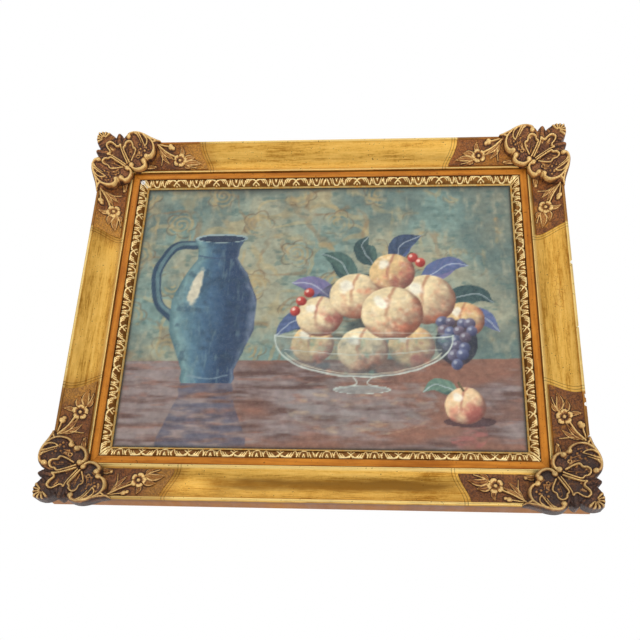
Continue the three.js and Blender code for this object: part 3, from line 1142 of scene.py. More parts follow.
    def strip(self, side: Side, section: Array, finish: bpy.types.Material) -> None:
        """Makes one strip.

        Args:
            side: The side of the frame.
            section: The section's places, once round.
            finish: The material it is dressed in.
        """
        length = self.sizes.along(side)
        shown = length - 2 * self.sizes.slip_from
        piece, around, share = sleeve(len(section), round(shown / self.step))
        inward, out = section[around].T
        along = (2 * share - 1) * (length / 2 - inward - self.sizes.mitre_gap / 2)
        depth = inward - self.sizes.slip_from
        on_leaf = (depth >= 0) & (depth <= self.swell + 0.01) & (out > self.lip_height - 0.6)
        height = np.zeros(along.shape)
        height[on_leaf] = self.leaves(side, along[on_leaf], depth[on_leaf])
        mitre = length / 2 - inward - np.abs(along)
        height = np.where(on_leaf, np.maximum(height * ease(mitre, 0, 3), ridge(mitre - 1.6, 1.3)), 0)
        lowered = out + np.where(on_leaf, (height - 0.5) * self.relief, 0)
        chip = self.mitre_chip(side, along, inward, length)
        x, y = self.sizes.turned(side, along, inward)
        place_vertices(piece, self.sizes.stand(x, y, lowered - 0.5 * chip))
        add_values(piece, crest=np.where(on_leaf, height, 0.35), lip=depth > self.swell, chip=chip)
        finish_piece(piece, f"leaf_slip_{side.name.lower()}", finish)
        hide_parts(f"sight_slip_{side.name.lower()}")

    def mitre_chip(self, side: Side, along: Array, inward: Array, length: float) -> Array:
        """White gesso along the top left mitre, where the ornament is broken away.

        Args:
            side: The side of the frame.
            along: Millimetres along the side from its middle.
            inward: Millimetres in from the outer edge.
            length: The frame's length along the side.

        Returns:
            The share of gesso.
        """
        if side not in (Side.TOP, Side.LEFT):
            return np.zeros(along.shape)
        towards = -1 if side is Side.TOP else 1
        from_mitre = length / 2 - inward - towards * along
        depth = inward - self.sizes.slip_from
        width = 3.2 * ease(5.6 - depth, 0, 3) + 0.9 * ease(8.6 - depth, 0, 1)
        ragged = width + 0.8 * mottle(along, inward, 1.8, 9)
        return ease(ragged - from_mitre, 0, 0.6) * (depth >= 0) * (depth < 9)


# The shell corners


@dataclass
class Relief:
    """Carving over an array of places: heights in millimetres, with where it crests and hollows."""

    p: Array
    q: Array
    base: Array
    raised: Array = field(init=False)
    crest: Array = field(init=False)
    hollow: Array = field(init=False)
    # where painted shade lies beside raised forms
    crease: Array = field(init=False)

    def __post_init__(self) -> None:
        """Starts level."""
        self.raised, self.crest, self.hollow, self.crease = np.zeros((4, *self.p.shape))

    def lift(self, amount: Array, crest: Array) -> None:
        """Raises places, without adding to what already stands there."""
        self.crest = np.where(amount > self.raised, crest, self.crest)
        self.raised = np.maximum(self.raised, amount)

    def darken(self, distance: Array, half_width: float) -> None:
        """Marks painted shade where a form rises from what lies round it."""
        beside = np.exp(-(((distance - 1.05 * half_width) / 1.0) ** 2))
        self.crease = np.maximum(self.crease * (distance > half_width * 0.9), beside)

    def strand(
        self, points: Line, width: float, rise: float, taper: float = 0.0, glint: float = 1.0
    ) -> None:
        """A rounded strand along a line.

        Args:
            points: The places that it goes through.
            width: Its width at its start.
            rise: Its height at its start.
            taper: How much thinner it is at its end, as a share.
            glint: How much gilt its crest holds.
        """
        distance, share = nearest(self.p, self.q, spline(points))
        distance = distance / (1 - taper * share)
        self.darken(distance, width / 2)
        profile = ridge(distance, width / 2)
        shine = np.clip(1.1 - distance / (width / 2), 0, 1)
        self.lift(profile * rise * (1 - 0.5 * taper * share), glint * shine)

    def knob(self, centre: Point, radius: float, rise: float, glint: float = 1.0) -> None:
        """A round boss, whose crest holds gilt by the glint's share.

        Args:
            centre: Its middle.
            radius: Its radius.
            rise: Its height.
            glint: How much gilt its crest holds.
        """
        away = np.hypot(self.p - centre[0], self.q - centre[1])
        self.darken(away, radius)
        profile = ridge(away, radius)
        self.lift(profile * rise, glint * profile**1.3)

    def blade(self, points: Line, width: float, rise: float) -> None:
        """A leaf with raised edges and a midrib.

        Args:
            points: The line it follows.
            width: Its greatest width.
            rise: Its height.
        """
        distance, share = nearest(self.p, self.q, spline(points))
        half = width / 2 * (0.12 + 0.95 * np.sin(math.pi * np.clip(share, 0, 1) ** 0.8)) + 1e-6
        self.darken(distance * (width / 2) / half, width / 2)
        inside = np.clip(distance / half, 0, 1)
        profile = np.sqrt(np.clip(1 - inside**4, 0, 1))
        rib = ridge(distance, 0.5)
        turned = np.exp(-(((inside - 0.82) / 0.16) ** 2)) * (distance < half)
        height = profile * rise * (0.62 + 0.38 * np.maximum(rib, turned))
        shine = 0.2 * profile + 0.75 * turned + 0.3 * rib
        self.lift(height, np.clip(shine, 0, 1) * (distance < half))

    def blossom(self, centre: Point, radius: float, rise: float, petals: int = 5) -> None:
        """An open flower with cupped petals round an eye.

        Args:
            centre: Its middle.
            radius: Its radius.
            rise: Its height.
            petals: How many petals it has.
        """
        away = np.hypot(self.p - centre[0], self.q - centre[1])
        angle = np.arctan2(self.q - centre[1], self.p - centre[0]) * petals / 2
        lobe = radius * (0.74 + 0.26 * np.abs(np.cos(angle)) ** 0.6)
        self.darken(away * radius / lobe, radius)
        inside = np.clip(away / lobe, 0, 1)
        cup = np.sqrt(np.clip(1 - inside**6, 0, 1)) * (0.35 + 0.65 * inside**1.5)
        between = np.clip(np.abs(np.cos(angle)) * 2.6, 0, 1)
        petal = 0.3 * inside + np.exp(-(((inside - 0.82) / 0.2) ** 2))
        self.lift(cup * between * rise, petal * between * (inside < 1))
        # painted shade ring between the eye and the petals
        self.crease = np.maximum(self.crease, np.exp(-(((inside - 0.36) / 0.14) ** 2)))
        self.knob(centre, radius * 0.26, rise * 0.95)

    def sink(self, loop: Array, depth: float) -> None:
        """Lowers the places inside a loop and marks them hollow.

        Args:
            loop: The loop's places.
            depth: How deep, in millimetres.
        """
        inside = np.zeros(self.p.shape, bool)
        for (x0, y0), (x1, y1) in zip(loop, np.roll(loop, -1, axis=0)):
            spans = (y0 > self.q) != (y1 > self.q)
            slope = (x1 - x0) / (y1 - y0 if abs(y1 - y0) > 1e-9 else 1e-9)
            inside ^= spans & (self.p < x0 + (self.q - y0) * slope)
        edge, _ = nearest(self.p, self.q, np.vstack([loop, loop[:1]]))
        amount = inside * ease(edge, 0, 1.4)
        self.base = self.base - depth * amount
        self.hollow = np.maximum(self.hollow, amount)

    def roughen(self, size: float, depth: float) -> None:
        """Breaks up the hollows with lumps of a size.

        Args:
            size: How wide a lump is.
            depth: How high it is.
        """
        lumps = clouds(self.p, self.q, size, 17)
        self.raised = self.raised + np.clip(lumps, 0, 1) * depth * self.hollow
        self.crest = np.maximum(self.crest, 0.55 * ease(lumps, 0.15, 0.6) * self.hollow)

    def height(self) -> Array:
        """The carved surface."""
        return self.base + self.raised


def exchanged(points: Line) -> Line:
    """The same points on the other half of a corner."""
    return [(q, p) for p, q in points]


@dataclass
class ShellCorner:
    """A cast shell with ears and scrolls over each corner, and a flower spray along each rail.

    Places are (p, q): millimetres in from the frame's outer corner along the two rails.
    """

    sizes: FrameSizes
    moulding: Moulding
    focus: float = 31.0
    face_at_focus: float = 27.5
    face_climb: float = 0.4
    face_corner_climb: float = 0.15
    tail_from: float = 40.0
    tail_fall: float = 0.0096
    rim_roll: float = 4.2
    roll_width: float = 3.0
    hook_depth: float = 4.0
    gap: float = 0.25
    body_centre: float = 22.0
    ground_rise: float = 1.0
    ground_from: float = 50.0
    flower: Point = (89.5, 20.6)
    thin_from: Point = (76.0, 116.0)
    soot_from: Point = (-60.0, 130.0)
    rim_points: int = 384
    face_rings: int = 86
    under_rings: int = 7
    inner_scroll: tuple = ((35.2, 31.2), (37.4, 35), (42, 36.2), (47.8, 34), (51.2, 29.6), (49.4, 26.4))
    outer_scroll: tuple = ((52.4, 21.2), (56.6, 19.6), (59.4, 15), (59.8, 9), (57.6, 3.6), (53.2, -0.4))
    ear_rim: tuple = (
        (31.4, 0.2), (32.4, -3.2), (36.4, -5), (42, -4.8), (48, -3.2), (55, -0.4), (64, 1.8))
    ear_hollow: tuple = (
        (37.4, 24), (40.4, 14), (39, 6), (36, 1), (42, -2), (50, 0), (55, 5), (56, 12), (50, 17), (46, 24))
    edge_lobes: tuple = (
        (((20.2, 8.4), (20.8, 3), (20.6, -2.6)), 4.6, 1.3, 0, 0.2),
        (((25.6, 9), (26.4, 4), (29.4, 0)), 3.0, 0.9, 0, 0.15),
        (((13.2, 3.8), (15.4, 1.2), (15.8, -1.4)), 3.0, 0.9, 0, 0.15))
    ear_flutes: tuple = (
        (((58, 4.4), (62.4, 1.8), (66.6, 0.6)), 2.6, 1.5, 0.3),
        (((48.2, -2.6), (51.6, 1.2), (52, 5.6), (49.8, 9.4)), 2.6, 2.0, 0.4),
        (((42.8, -3.8), (45.2, 0.2), (47.6, 4.6), (49.6, 9)), 2.4, 2.0, 0.4),
        (((40.6, -3.6), (43.6, 1.4), (45.8, 5.8)), 2.2, 1.8, 0.5),
        (((37.6, -4.4), (40.8, -2.2), (43.2, 1)), 2.4, 1.8, 0.5))
    ear_beads: tuple = (
        (42.6, 17.4), (45, 12.4), (49.8, 14.2), (46.2, 19.6), (51.4, 10.6), (44, 8), (54, 12.8))
    panel: tuple = (
        (32.6, 27.6), (27.4, 17.6), (25.4, 12.4), (27.4, 10), (27.8, 7), (30.6, 4.8),
        (33.4, 4.8), (35.6, 7.2), (36.4, 11), (39.4, 13.4), (38.4, 18.4), (35, 25.4))
    middle_rib: tuple = ((30.0, 28.2), (25.8, 20.0), (23.2, 14.0), (22.0, 9.4))
    boss: Point = (3.6, 3.6)
    boss_faces: float = 225.0
    boss_rib_step: float = 30.0
    middle_lobe: tuple = (
        (22.0, 9.4), (20.0, 11.0), (17.8, 11.2), (15.4, 9.2), (12.6, 7.4), (9.8, 7.0), (8.2, 8.2))

    def half_edge(self) -> Array:
        """One half of the shell's edge, from beside the corner's diagonal to the focus.

        Returns:
            The edge's places.
        """
        knob = spline([(-0.4, -3.8), (3.4, -4.4), (8, -4), (12.6, -2.2), (16.6, 1)])
        tooth = spline([(18, -2.4), (20.6, -4), (23.6, -2.4), (25.8, 0.8)])
        ear = spline(
            [(27.8, -2.6), (31.6, -5.4), (38, -6.8), (45, -6.2), (52, -4.2), (59, -1.8), (67, -0.4)])
        ear_scroll = spline([(67.4, 1.4), (63, 4.6), (62, 9.6), (60.6, 16), (57.2, 20.6), (53.6, 22)])
        inner = spline([(53.2, 25), (53.6, 29.6), (50, 34.8), (45, 37.4), (39.6, 37.2), (36.4, 35.4)])
        return np.vstack([knob, tooth, ear, ear_scroll, inner])

    def edge(self) -> Array:
        """The shell's whole edge as evenly spaced places, once round.

        Returns:
            The edge's places.
        """
        half = self.half_edge()
        loop = np.vstack([[(-3, -3)], half, [(33.6, 33.6)], half[::-1, ::-1], [(-3, -3)]])
        run = np.concatenate([[0], np.cumsum(np.hypot(*np.diff(loop, axis=0).T))])
        even = np.linspace(0, run[-1], self.rim_points, endpoint=False)
        return np.stack([np.interp(even, run, loop[:, k]) for k in (0, 1)], axis=-1)

    def face(self, p: Array, q: Array) -> Array:
        """The shell's face before it is carved.

        Args:
            p: Millimetres in from the corner along one rail.
            q: Millimetres in from it along the other.

        Returns:
            The height at each place.
        """
        near, far = np.minimum(p, q), np.maximum(p, q)
        climb = self.face_climb * np.maximum(-2, self.focus - near)
        climb = climb + self.face_corner_climb * np.maximum(0, self.focus - far)
        return self.face_at_focus + climb - self.tail_fall * np.maximum(0, far - self.tail_from) ** 2

    def carve_shell(self, p: Array, q: Array) -> Relief:
        """Carves the shell's face.

        Args:
            p: Millimetres in from the corner along one rail.
            q: Millimetres in from it along the other.

        Returns:
            The carved relief.
        """
        relief = Relief(p, q, self.face(p, q))
        half = list(self.middle_rib) + list(self.middle_lobe)[1:]
        relief.sink(spline(half + exchanged(half)[::-1]), 1.2)
        for turn in (list, exchanged):
            relief.sink(spline(turn(self.panel)), 1.2)
            relief.sink(spline(turn(self.ear_hollow)), 1.0)
        relief.roughen(2.6, 0.8)
        for turn in (list, exchanged):
            self.carve_half(relief, turn)
        for k in range(-3, 4):
            angle = math.radians(self.boss_faces + self.boss_rib_step * k)
            rib = [(self.boss[0] + reach * math.cos(angle), self.boss[1] + reach * math.sin(angle))
                   for reach in (8.2, 5, 2)]
            relief.strand(rib, 3.2, 2.2, 0.6)
        return relief

    def carve_half(self, relief: Relief, turn: Callable) -> None:
        """Carves the strokes of one half of the shell, or of the other when turned.

        Args:
            relief: The relief to carve.
            turn: Gives the points as they are, or those of the other half.
        """
        for points, *size in self.edge_lobes + ((self.ear_rim, 4.8, 2.3, 0.5, 0.8),) + self.ear_flutes:
            relief.strand(turn(points), *size)
        curl = [(42.6 + 1.8 * math.cos(a), 21.2 + 1.8 * math.sin(a)) for a in (0.6, 1.8, 3.0, 4.2, 5.4)]
        relief.strand(turn(curl), 1.5, 1.1, glint=0.7)
        for start, end in (((38.8, 22), (43, 13)), ((42.4, 23), (47, 14.6)), ((45.6, 25), (51, 18))):
            middle = ((start[0] + end[0]) / 2 + 0.8, (start[1] + end[1]) / 2 + 0.4)
            relief.strand(turn([start, middle, end]), 2.0, 0.9, 0.4, glint=0.45)
        for centre in self.ear_beads:
            relief.knob(turn([centre])[0], 1.5, 1.1, glint=0.5)
        relief.strand(turn(self.panel), 2.4, 1.7)
        relief.strand(turn([(33.4, 23), (31.8, 15), (31.2, 9)]), 1.8, 0.8, 0.4, glint=0.4)
        relief.strand(turn(self.middle_rib), 2.2, 1.6)
        relief.strand(turn(self.middle_lobe), 2.5, 1.8)
        relief.knob(turn([self.middle_lobe[0]])[0], 1.5, 2.1)
        relief.strand(turn(self.inner_scroll), 4.4, 2.8)
        relief.strand(turn(self.outer_scroll), 4.4, 2.8, 0.5)
        for centre in (self.inner_scroll[0], self.inner_scroll[-1], self.outer_scroll[0]):
            relief.knob(turn([centre])[0], 3.3, 3.8)
        relief.knob(turn([self.ear_rim[0]])[0], 3.0, 3.2)

    def shell(self) -> tuple[bpy.types.Object, Relief]:
        """The shell as a shaped ball: its upper half is the face, and its lower half sits on the rails.

        Returns:
            The piece and its relief.
        """
        side_rings = 5
        rings = self.under_rings + side_rings + self.face_rings
        piece, around, ring = ball(self.rim_points, rings)
        edge = self.edge()[around]
        under = ring <= self.under_rings
        over = ring >= rings - self.face_rings
        face_share = np.clip((rings - ring) / self.face_rings, 0, 1)
        share = np.where(under, ring / self.under_rings, np.where(over, face_share**0.92, 1.0))
        p, q = (self.body_centre + (edge - self.body_centre) * share[:, None]).T
        relief = self.carve_shell(p, q)
        inside = (1 - share) * np.hypot(*(edge - self.body_centre).T)
        roll = 1 - np.sqrt(np.clip(1 - np.clip(1 - inside / self.roll_width, 0, 1) ** 2, 0, 1))
        top = relief.height() - self.rim_roll * roll
        inward = np.minimum(p, q)
        seat = np.where(inward < -self.gap, self.sizes.lip_height - self.hook_depth,
                        self.moulding.surface(np.maximum(inward, 0)) + self.gap)
        seat = np.where(inward > self.sizes.slip_from, 20.4, seat)
        climb = np.clip((ring - self.under_rings) / side_rings, 0, 1)
        height = np.where(over, top, np.where(under, seat, seat + (top - seat) * climb))
        relief.crest = relief.crest * over
        relief.hollow = np.maximum(relief.hollow * over, np.where(over, 0, 1 - climb))
        place_vertices(piece, np.stack([p, q, height], axis=-1))
        return piece, relief

    def ground(self, turn: Callable) -> tuple[bpy.types.Object, Relief]:
        """The stippled ground with its spray along one rail.

        Args:
            turn: Gives the points as they are, or those of the other half.

        Returns:
            The piece and its relief.
        """
        lip = self.moulding.lip_width
        cove = self.moulding.cove(90)
        inner = cove[-1, 0] - self.moulding.bare_strip
        line = cove[cove[:, 0] <= inner]
        under = np.vstack([line[::-12], line[:1]])
        section = np.vstack([line + (0, self.ground_rise), under + (0, self.gap)])
        piece, around, share = sleeve(len(section), 120)
        q, height = section[around].T
        top = around < len(line)
        p = self.ground_from + share * (ground_end(q) - self.ground_from)
        relief = Relief(p, q, height)
        self.carve_spray(relief)
        edge = ease(ground_end(q) - p, 0, 0.8) * ease(q - lip, -0.2, 0.6) * ease(inner - q, 0, 0.8)
        relief.raised *= top * edge
        relief.crest *= top * edge
        sunk = (1 - edge) * top * (self.ground_rise - self.gap - 0.1)
        turned = turn([(p, q)])[0]
        place_vertices(piece, np.stack([*turned, relief.height() - sunk], axis=-1))
        return piece, relief

    def carve_spray(self, relief: Relief) -> None:
        """Carves the stems, leaves, bud and flower of one spray.

        Args:
            relief: The relief to carve.
        """
        p, q = self.flower
        relief.strand([(57, 1), (64, 4.8), (74, 11.6), (p - 3, q - 3)], 2.4, 2.0)
        relief.strand([(60, 2.4), (70, 4.8), (77.5, 6)], 1.8, 1.8)
        relief.strand([(64, 5), (68.4, 15), (68, 27)], 1.7, 1.3, 0.3)
        relief.blade([(65, 6), (73, 13.4), (82, 19)], 4.6, 1.8)
        relief.blade([(65.4, 8), (70.4, 17), (77, 24)], 4.2, 1.5)
        relief.strand([(p + 3, q + 3), (p + 12, q + 8), (p + 20, q + 10.6)], 1.9, 1.6, 0.4)
        relief.blade([(p, q - 4), (p + 2.4, q - 9), (p + 1.6, q - 15.4)], 4.6, 1.9)
        relief.blade([(p + 4, q + 1), (p + 10, q - 2.6), (p + 17, q - 3)], 7.2, 2.4)
        relief.blade([(p + 6, q + 5), (p + 15, q + 3), (p + 25, q + 5)], 7.2, 2.4)
        relief.blade([(p + 6, q + 5), (p + 9, q + 9), (p + 14, q + 11)], 4.0, 1.8)
        relief.knob((78.4, 6.2), 3.2, 2.6)
        relief.knob((81.4, 7.6), 2.2, 2.2)
        relief.blossom((p, q), 8.0, 3.2)
        relief.blade([(50, 30.6), (56, 29), (63, 30.4)], 5.0, 2.2)
        relief.knob((61, 29), 2.0, 1.8)

    def build(self, finish: bpy.types.Material) -> None:
        """Makes the four corners from one casting.

        Args:
            finish: The material it is dressed in.
        """
        parts = [self.shell(), self.ground(list), self.ground(exchanged)]
        for piece, relief in parts:
            on_ground = np.full(relief.crest.shape, piece is not parts[0][0])
            add_values(piece, crest=relief.crest, hollow=relief.hollow, crease=relief.crease,
                       floor=on_ground)
        bpy.ops.object.select_all(action="DESELECT")
        for piece, _ in parts:
            piece.select_set(True)
        first = parts[0][0]
        bpy.context.view_layer.objects.active = first
        bpy.ops.object.join()
        local = vertex_places(first)
        for corner in Corner:
            piece = first if corner is Corner.BOTTOM_LEFT else first.copy()
            if piece is not first:
                piece.data = first.data.copy()
                bpy.context.collection.objects.link(piece)
            p, q, out = local.T
            x, y = self.sizes.turned(corner, p - self.sizes.along(corner) / 2, q)
            place_vertices(piece, self.sizes.stand(x, y, out))
            thin = ease(np.maximum(p, q), *self.thin_from) * (x < 0)
            # darker towards the frame's foot
            add_values(piece, soot=ease(-y, *self.soot_from), thin=thin)
            finish_piece(piece, f"cast_shell_{corner.name.lower()}", finish)
            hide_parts(f"corner_shell_{corner.name.lower()}")


# The picture


@dataclass
class Wash:
    """A painted surface: places in millimetres from the picture's middle, each with a screen colour."""

    x: Array
    y: Array
    bare: Colour = (226.0, 220.0, 200.0)
    colour: Array = field(init=False)

    def __post_init__(self) -> None:
        """Starts from bare paper and works out how far hand-drawn edges waver."""
        self.colour = np.tile(np.array(self.bare), (len(self.x), 1))
        self.waver_x = 1.5 * self.cloud(11, 71)
        self.waver_y = 1.5 * self.cloud(11, 83)

    def cloud(self, size: float, seed: int, wide: float = 1.0, tall: float = 1.0, layers: int = 3) -> Array:
        """Clouds over the whole surface; below 1, wide and tall stretch them that way."""
        return clouds(self.x * wide, self.y * tall, size, seed, layers)

    def lay(self, colour: Tint, cover: Array) -> None:
        """Lays a colour, one or one for each place, where cover runs from 0 to 1."""
        self.colour += (np.asarray(colour, float) - self.colour) * np.clip(cover, 0, 1)[:, None]

    def round(self, centre: Point, radius: float, height: float = 1.0) -> tuple[Array, Array, Array]:
        """Places against a hand-drawn oval.

        Args:
            centre: The oval's middle.
            radius: Half its width.
            height: Its height as a share of its width.

        Returns:
            Shares of the radius to the right and up, and the cover inside the oval.
        """
        u = (self.x + self.waver_x * 0.5 - centre[0]) / radius
        v = (self.y + self.waver_y * 0.5 - centre[1]) / (radius * height)
        return u, v, ease(1 - np.hypot(u, v), 0, 1.6 / radius)

    def stroke(self, points: Line, width: float, colour: Tint, strength: float = 1.0) -> None:
        """Paints one brush line that wavers a little."""
        distance, _ = nearest(self.x + 0.6 * self.waver_x, self.y + 0.6 * self.waver_y, spline(points))
        self.lay(colour, strength * ease(width / 2 - distance, -0.6, 0.6))

    def leaf(self, points: Line, width: float, light: Colour, dark: Colour) -> None:
        """Paints a leaf along a line, lighter on one half, with a pale midrib.

        Args:
            points: The line it follows.
            width: Its greatest width.
            light: The colour of its light half.
            dark: The colour of its dark half.
        """
        x, y = self.x + 0.8 * self.waver_x, self.y + 0.8 * self.waver_y
        distance, share = nearest(x, y, spline(points))
        half = width / 2 * np.sin(math.pi * np.clip(share, 0, 1) ** 0.75) + 0.01
        cover = ease(half - distance, -0.5, 0.7) * (share > 0.005) * (share < 0.995)
        (x0, y0), (x1, y1) = points[0], points[-1]
        side = ease((x - x0) * (y1 - y0) - (y - y0) * (x1 - x0) + 60 * mottle(x, y, 6, 5), -60, 60)
        veins = 0.5 + 0.5 * np.sin(share * 34 - distance * 0.9)
        self.lay(between(dark, light, 0.72 * side + 0.28 * veins), cover)
        self.lay((205, 212, 214), 0.55 * cover * ease(0.7 - distance, -0.3, 0.3))


@dataclass
class StillLife:
    """The sheet, painted with a made-up group: a jug, a glass dish of fruit and one fruit beside it.

    Places and sizes are millimetres, seen from the front and measured from the picture's middle.
    """

    sizes: FrameSizes
    overlap: float = 4.3
    front: float = 13.6
    thickness: float = 1.6
    columns: int = 356
    rows: int = 269
    table_edge: float = -57.0
    jug_foot: Point = (-116, -84)
    dish_middle: Point = (44, -30)
    dish_reach: float = 92.0
    dish_depth: float = 46.0
    lone_fruit: Point = (146, -106)
    shadow: Colour = (132, 104, 92)
    slate: Colour = (92, 108, 146)
    violet: Colour = (128, 120, 156)
    sage: Colour = (84, 112, 104)
    stem: Colour = (86, 90, 70)
    glass: Colour = (206, 216, 204)
    vines: tuple = ((34, 61, (182, 160, 116)), (27, 67, (144, 118, 88)), (30, 73, (190, 170, 124)))
    jug_profile: tuple = (
        (0, 27), (5, 29), (14, 28), (60, 46), (96, 47), (128, 34), (146, 22.5), (160, 24), (172, 29))
    jug_tints: tuple = (
        (-1, (88, 120, 126)), (-0.82, (124, 156, 156)), (-0.5, (90, 124, 140)), (-0.1, (72, 102, 128)),
        (0.4, (50, 72, 100)), (0.8, (56, 74, 100)), (0.93, (102, 116, 136)), (1, (76, 88, 112)))
    jug_handle: tuple = ((-24, 164), (-50, 160), (-66, 128), (-60, 92), (-42, 74))
    heap: tuple = (
        (-52, -10, 23, Skin.STRAW_ROSE), (50, -12, 25, Skin.STRAW_ROSE), (0, -16, 27, Skin.CREAM_CORAL),
        (-46, 22, 25, Skin.CREAM_ROSE), (104, 18, 22, Skin.STRAW_CORAL), (-8, 46, 29, Skin.CREAM_CORAL),
        (66, 42, 31, Skin.CREAM_CORAL), (30, 74, 25, Skin.STRAW_ROSE), (30, 26, 33, Skin.CREAM_CORAL))
    dish_leaves: tuple = (
        ((-30, 40), (-56, 60), (-78, 62)), ((-10, 60), (-26, 88), (-48, 98)),
        ((34, 86), (40, 108), (62, 120)), ((60, 64), (92, 84), (112, 82)),
        ((84, 40), (118, 48), (136, 38)), ((-44, 20), (-74, 16), (-92, -2)),
        ((90, 20), (124, 20), (140, 4)), ((10, 84), (-2, 106), (4, 120)))
    dish_stems: tuple = (((-50, 30), (-66, 44), (-70, 30)), ((40, 80), (50, 98), (58, 88)))
    berries: tuple = ((-66, 40), (-58, 50), (-72, 28), (52, 92), (60, 86))
    grape_rows: tuple = (4, 4, 3, 3, 2, 1)

    def build(self, finish: bpy.types.Material) -> None:
        """Makes and paints the sheet.

        Args:
            finish: The material it is dressed in.
        """
        sight = self.sizes.sight_from - self.overlap
        width, height = self.sizes.width - 2 * sight, self.sizes.height - 2 * sight
        bpy.ops.object.select_all(action="DESELECT")
        bpy.ops.mesh.primitive_grid_add(x_subdivisions=self.columns, y_subdivisions=self.rows, size=2)
        piece = bpy.context.object
        bpy.ops.object.mode_set(mode="EDIT")
        bpy.ops.mesh.select_all(action="DESELECT")
        bpy.ops.mesh.select_mode(type="EDGE")
        bpy.ops.mesh.select_non_manifold()
        bpy.ops.mesh.extrude_region_move(TRANSFORM_OT_translate={"value": (0, 0, -1)})
        bpy.ops.object.mode_set(mode="OBJECT")
        x, y, layer = (vertex_places(piece) * (width / 2, height / 2, self.thickness)).T
        place_vertices(piece, self.sizes.stand(x, y, layer + self.front))
        self.paint(piece, x, y)
        finish_piece(piece, "painted_sheet", finish)
        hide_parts("watercolor_sheet")

    def paint(self, piece: bpy.types.Object, x: Array, y: Array) -> None:
        """Paints the picture from back to front and stores its colours on the sheet.

        Args:
            piece: The piece.
            x: Millimetres to the right of the picture's middle.
            y: Millimetres up from it.
        """
        wash = Wash(x, y)
        self.wall(wash)
        self.table(wash)
        self.jug(wash)
        self.dish(wash)
        self.single_fruit(wash)
        self.brushwork(wash)
        self.edge_shade(wash)
        share = np.clip(wash.colour, 0, 255) / 255
        linear = np.where(share < 0.04045, share / 12.92, ((share + 0.055) / 1.055) ** 2.4)
        layer = piece.data.attributes.new("paint", "FLOAT_COLOR", "POINT")
        opaque = np.hstack([linear, np.ones((len(x), 1))])
        layer.data.foreach_set("color", opaque.astype(np.float32).ravel())

    def wall(self, wash: Wash) -> None:
        """A mottled olive and grey-green wall with worn ochre vines and small roundels.

        Args:
            wash: The picture.
        """
        x, y = wash.x, wash.y
        teal = ease(wash.cloud(62, 11, layers=4), -0.45, 0.4)
        wash.lay(between((164, 164, 140), (124, 150, 142), teal), np.ones(len(x)))
        border = np.maximum(np.abs(x) / 204, (y - 20) / 133)
        dark = wash.cloud(40, 29) + 1.5 * (border - 0.7) + np.maximum(x, 0) / 420
        wash.lay((90, 106, 102), 0.6 * ease(dark, 0.0, 0.8))
        wash.lay((172, 166, 140), 0.5 * ease(wash.cloud(6, 37, tall=0.4), 0.1, 0.6))
        wash.lay((84, 112, 108), 0.5 * ease(wash.cloud(5, 43, wide=0.5), 0.15, 0.6))
        ochre = ease(wash.cloud(17, 53) + 0.4 - np.maximum(x - 60, 0) / 190, 0, 0.6)
        for size, seed, tint in self.vines:
            vine = np.abs(mottle(x + 2 * wash.waver_x, y, size, seed))
            wash.lay(tint, 0.5 * ochre * ease(0.13 - vine, 0, 0.07))
        self.roundels(wash, ochre, (-30, 30), (88, 76))

    def roundels(self, wash: Wash, ochre: Array, start: Point, pitch: Point) -> None:
        """Small worn flowers in staggered rows.

        Args:
            wash: The picture.
            ochre: Where the wall's ochre pattern is left.
            start: A place between four flowers.
            pitch: The distances between neighbours across and up.
        """
        across = (wash.x + wash.waver_x - start[0]) / pitch[0]
        up = (wash.y + wash.waver_y - start[1]) / pitch[1]
        i, j = np.floor(across + up) + 0.5, np.floor(across - up) + 0.5
        u, v = (across - (i + j) / 2) * pitch[0], (up - (i - j) / 2) * pitch[1]
        away, angle = np.hypot(u, v), np.arctan2(v, u)
        petals = 13 + 5 * np.abs(np.cos(2.5 * angle))
        swirl = ease(np.sin(away * 1.1 + angle), -0.6, 0.7)
        wash.lay((178, 158, 114), 0.6 * ochre * ease(petals - away, 0, 2) * swirl)
        wash.lay((120, 100, 78), 0.55 * ochre * ease(1.6 - np.abs(away - petals), 0, 1.4))

    def table(self, wash: Wash) -> None:
        """A polished brown table with streaks and soft reflections.

        Args:
            wash: The picture.
        """
        x, y = wash.x, wash.y
        below = ease(self.table_edge + 0.012 * x + wash.waver_y * 0.4 - y, 0, 1.6)
        streaks = wash.cloud(5.2, 101, wide=0.16, layers=4)
        broad = wash.cloud(19, 113, wide=0.3)
        wash.lay(between((142, 102, 86), (120, 100, 96), ease(broad, -0.4, 0.5)), below)
        sheen = np.exp(-(((x + 150) / 70) ** 2)) + np.exp(-(((x - 20) / 90) ** 2) - ((y + 118) / 34) ** 2)
        wash.lay((160, 148, 144), below * 0.72 * ease(streaks + broad * 0.5 + 0.55 * sheen, 0.1, 0.9))
        wash.lay((90, 62, 54), below * 0.55 * ease(-streaks + 0.3 * broad - 0.3 * sheen, 0.05, 0.5))
        wash.lay((164, 112, 92), below * 0.4 * ease(wash.cloud(4, 131, wide=0.2), 0.2, 0.6))

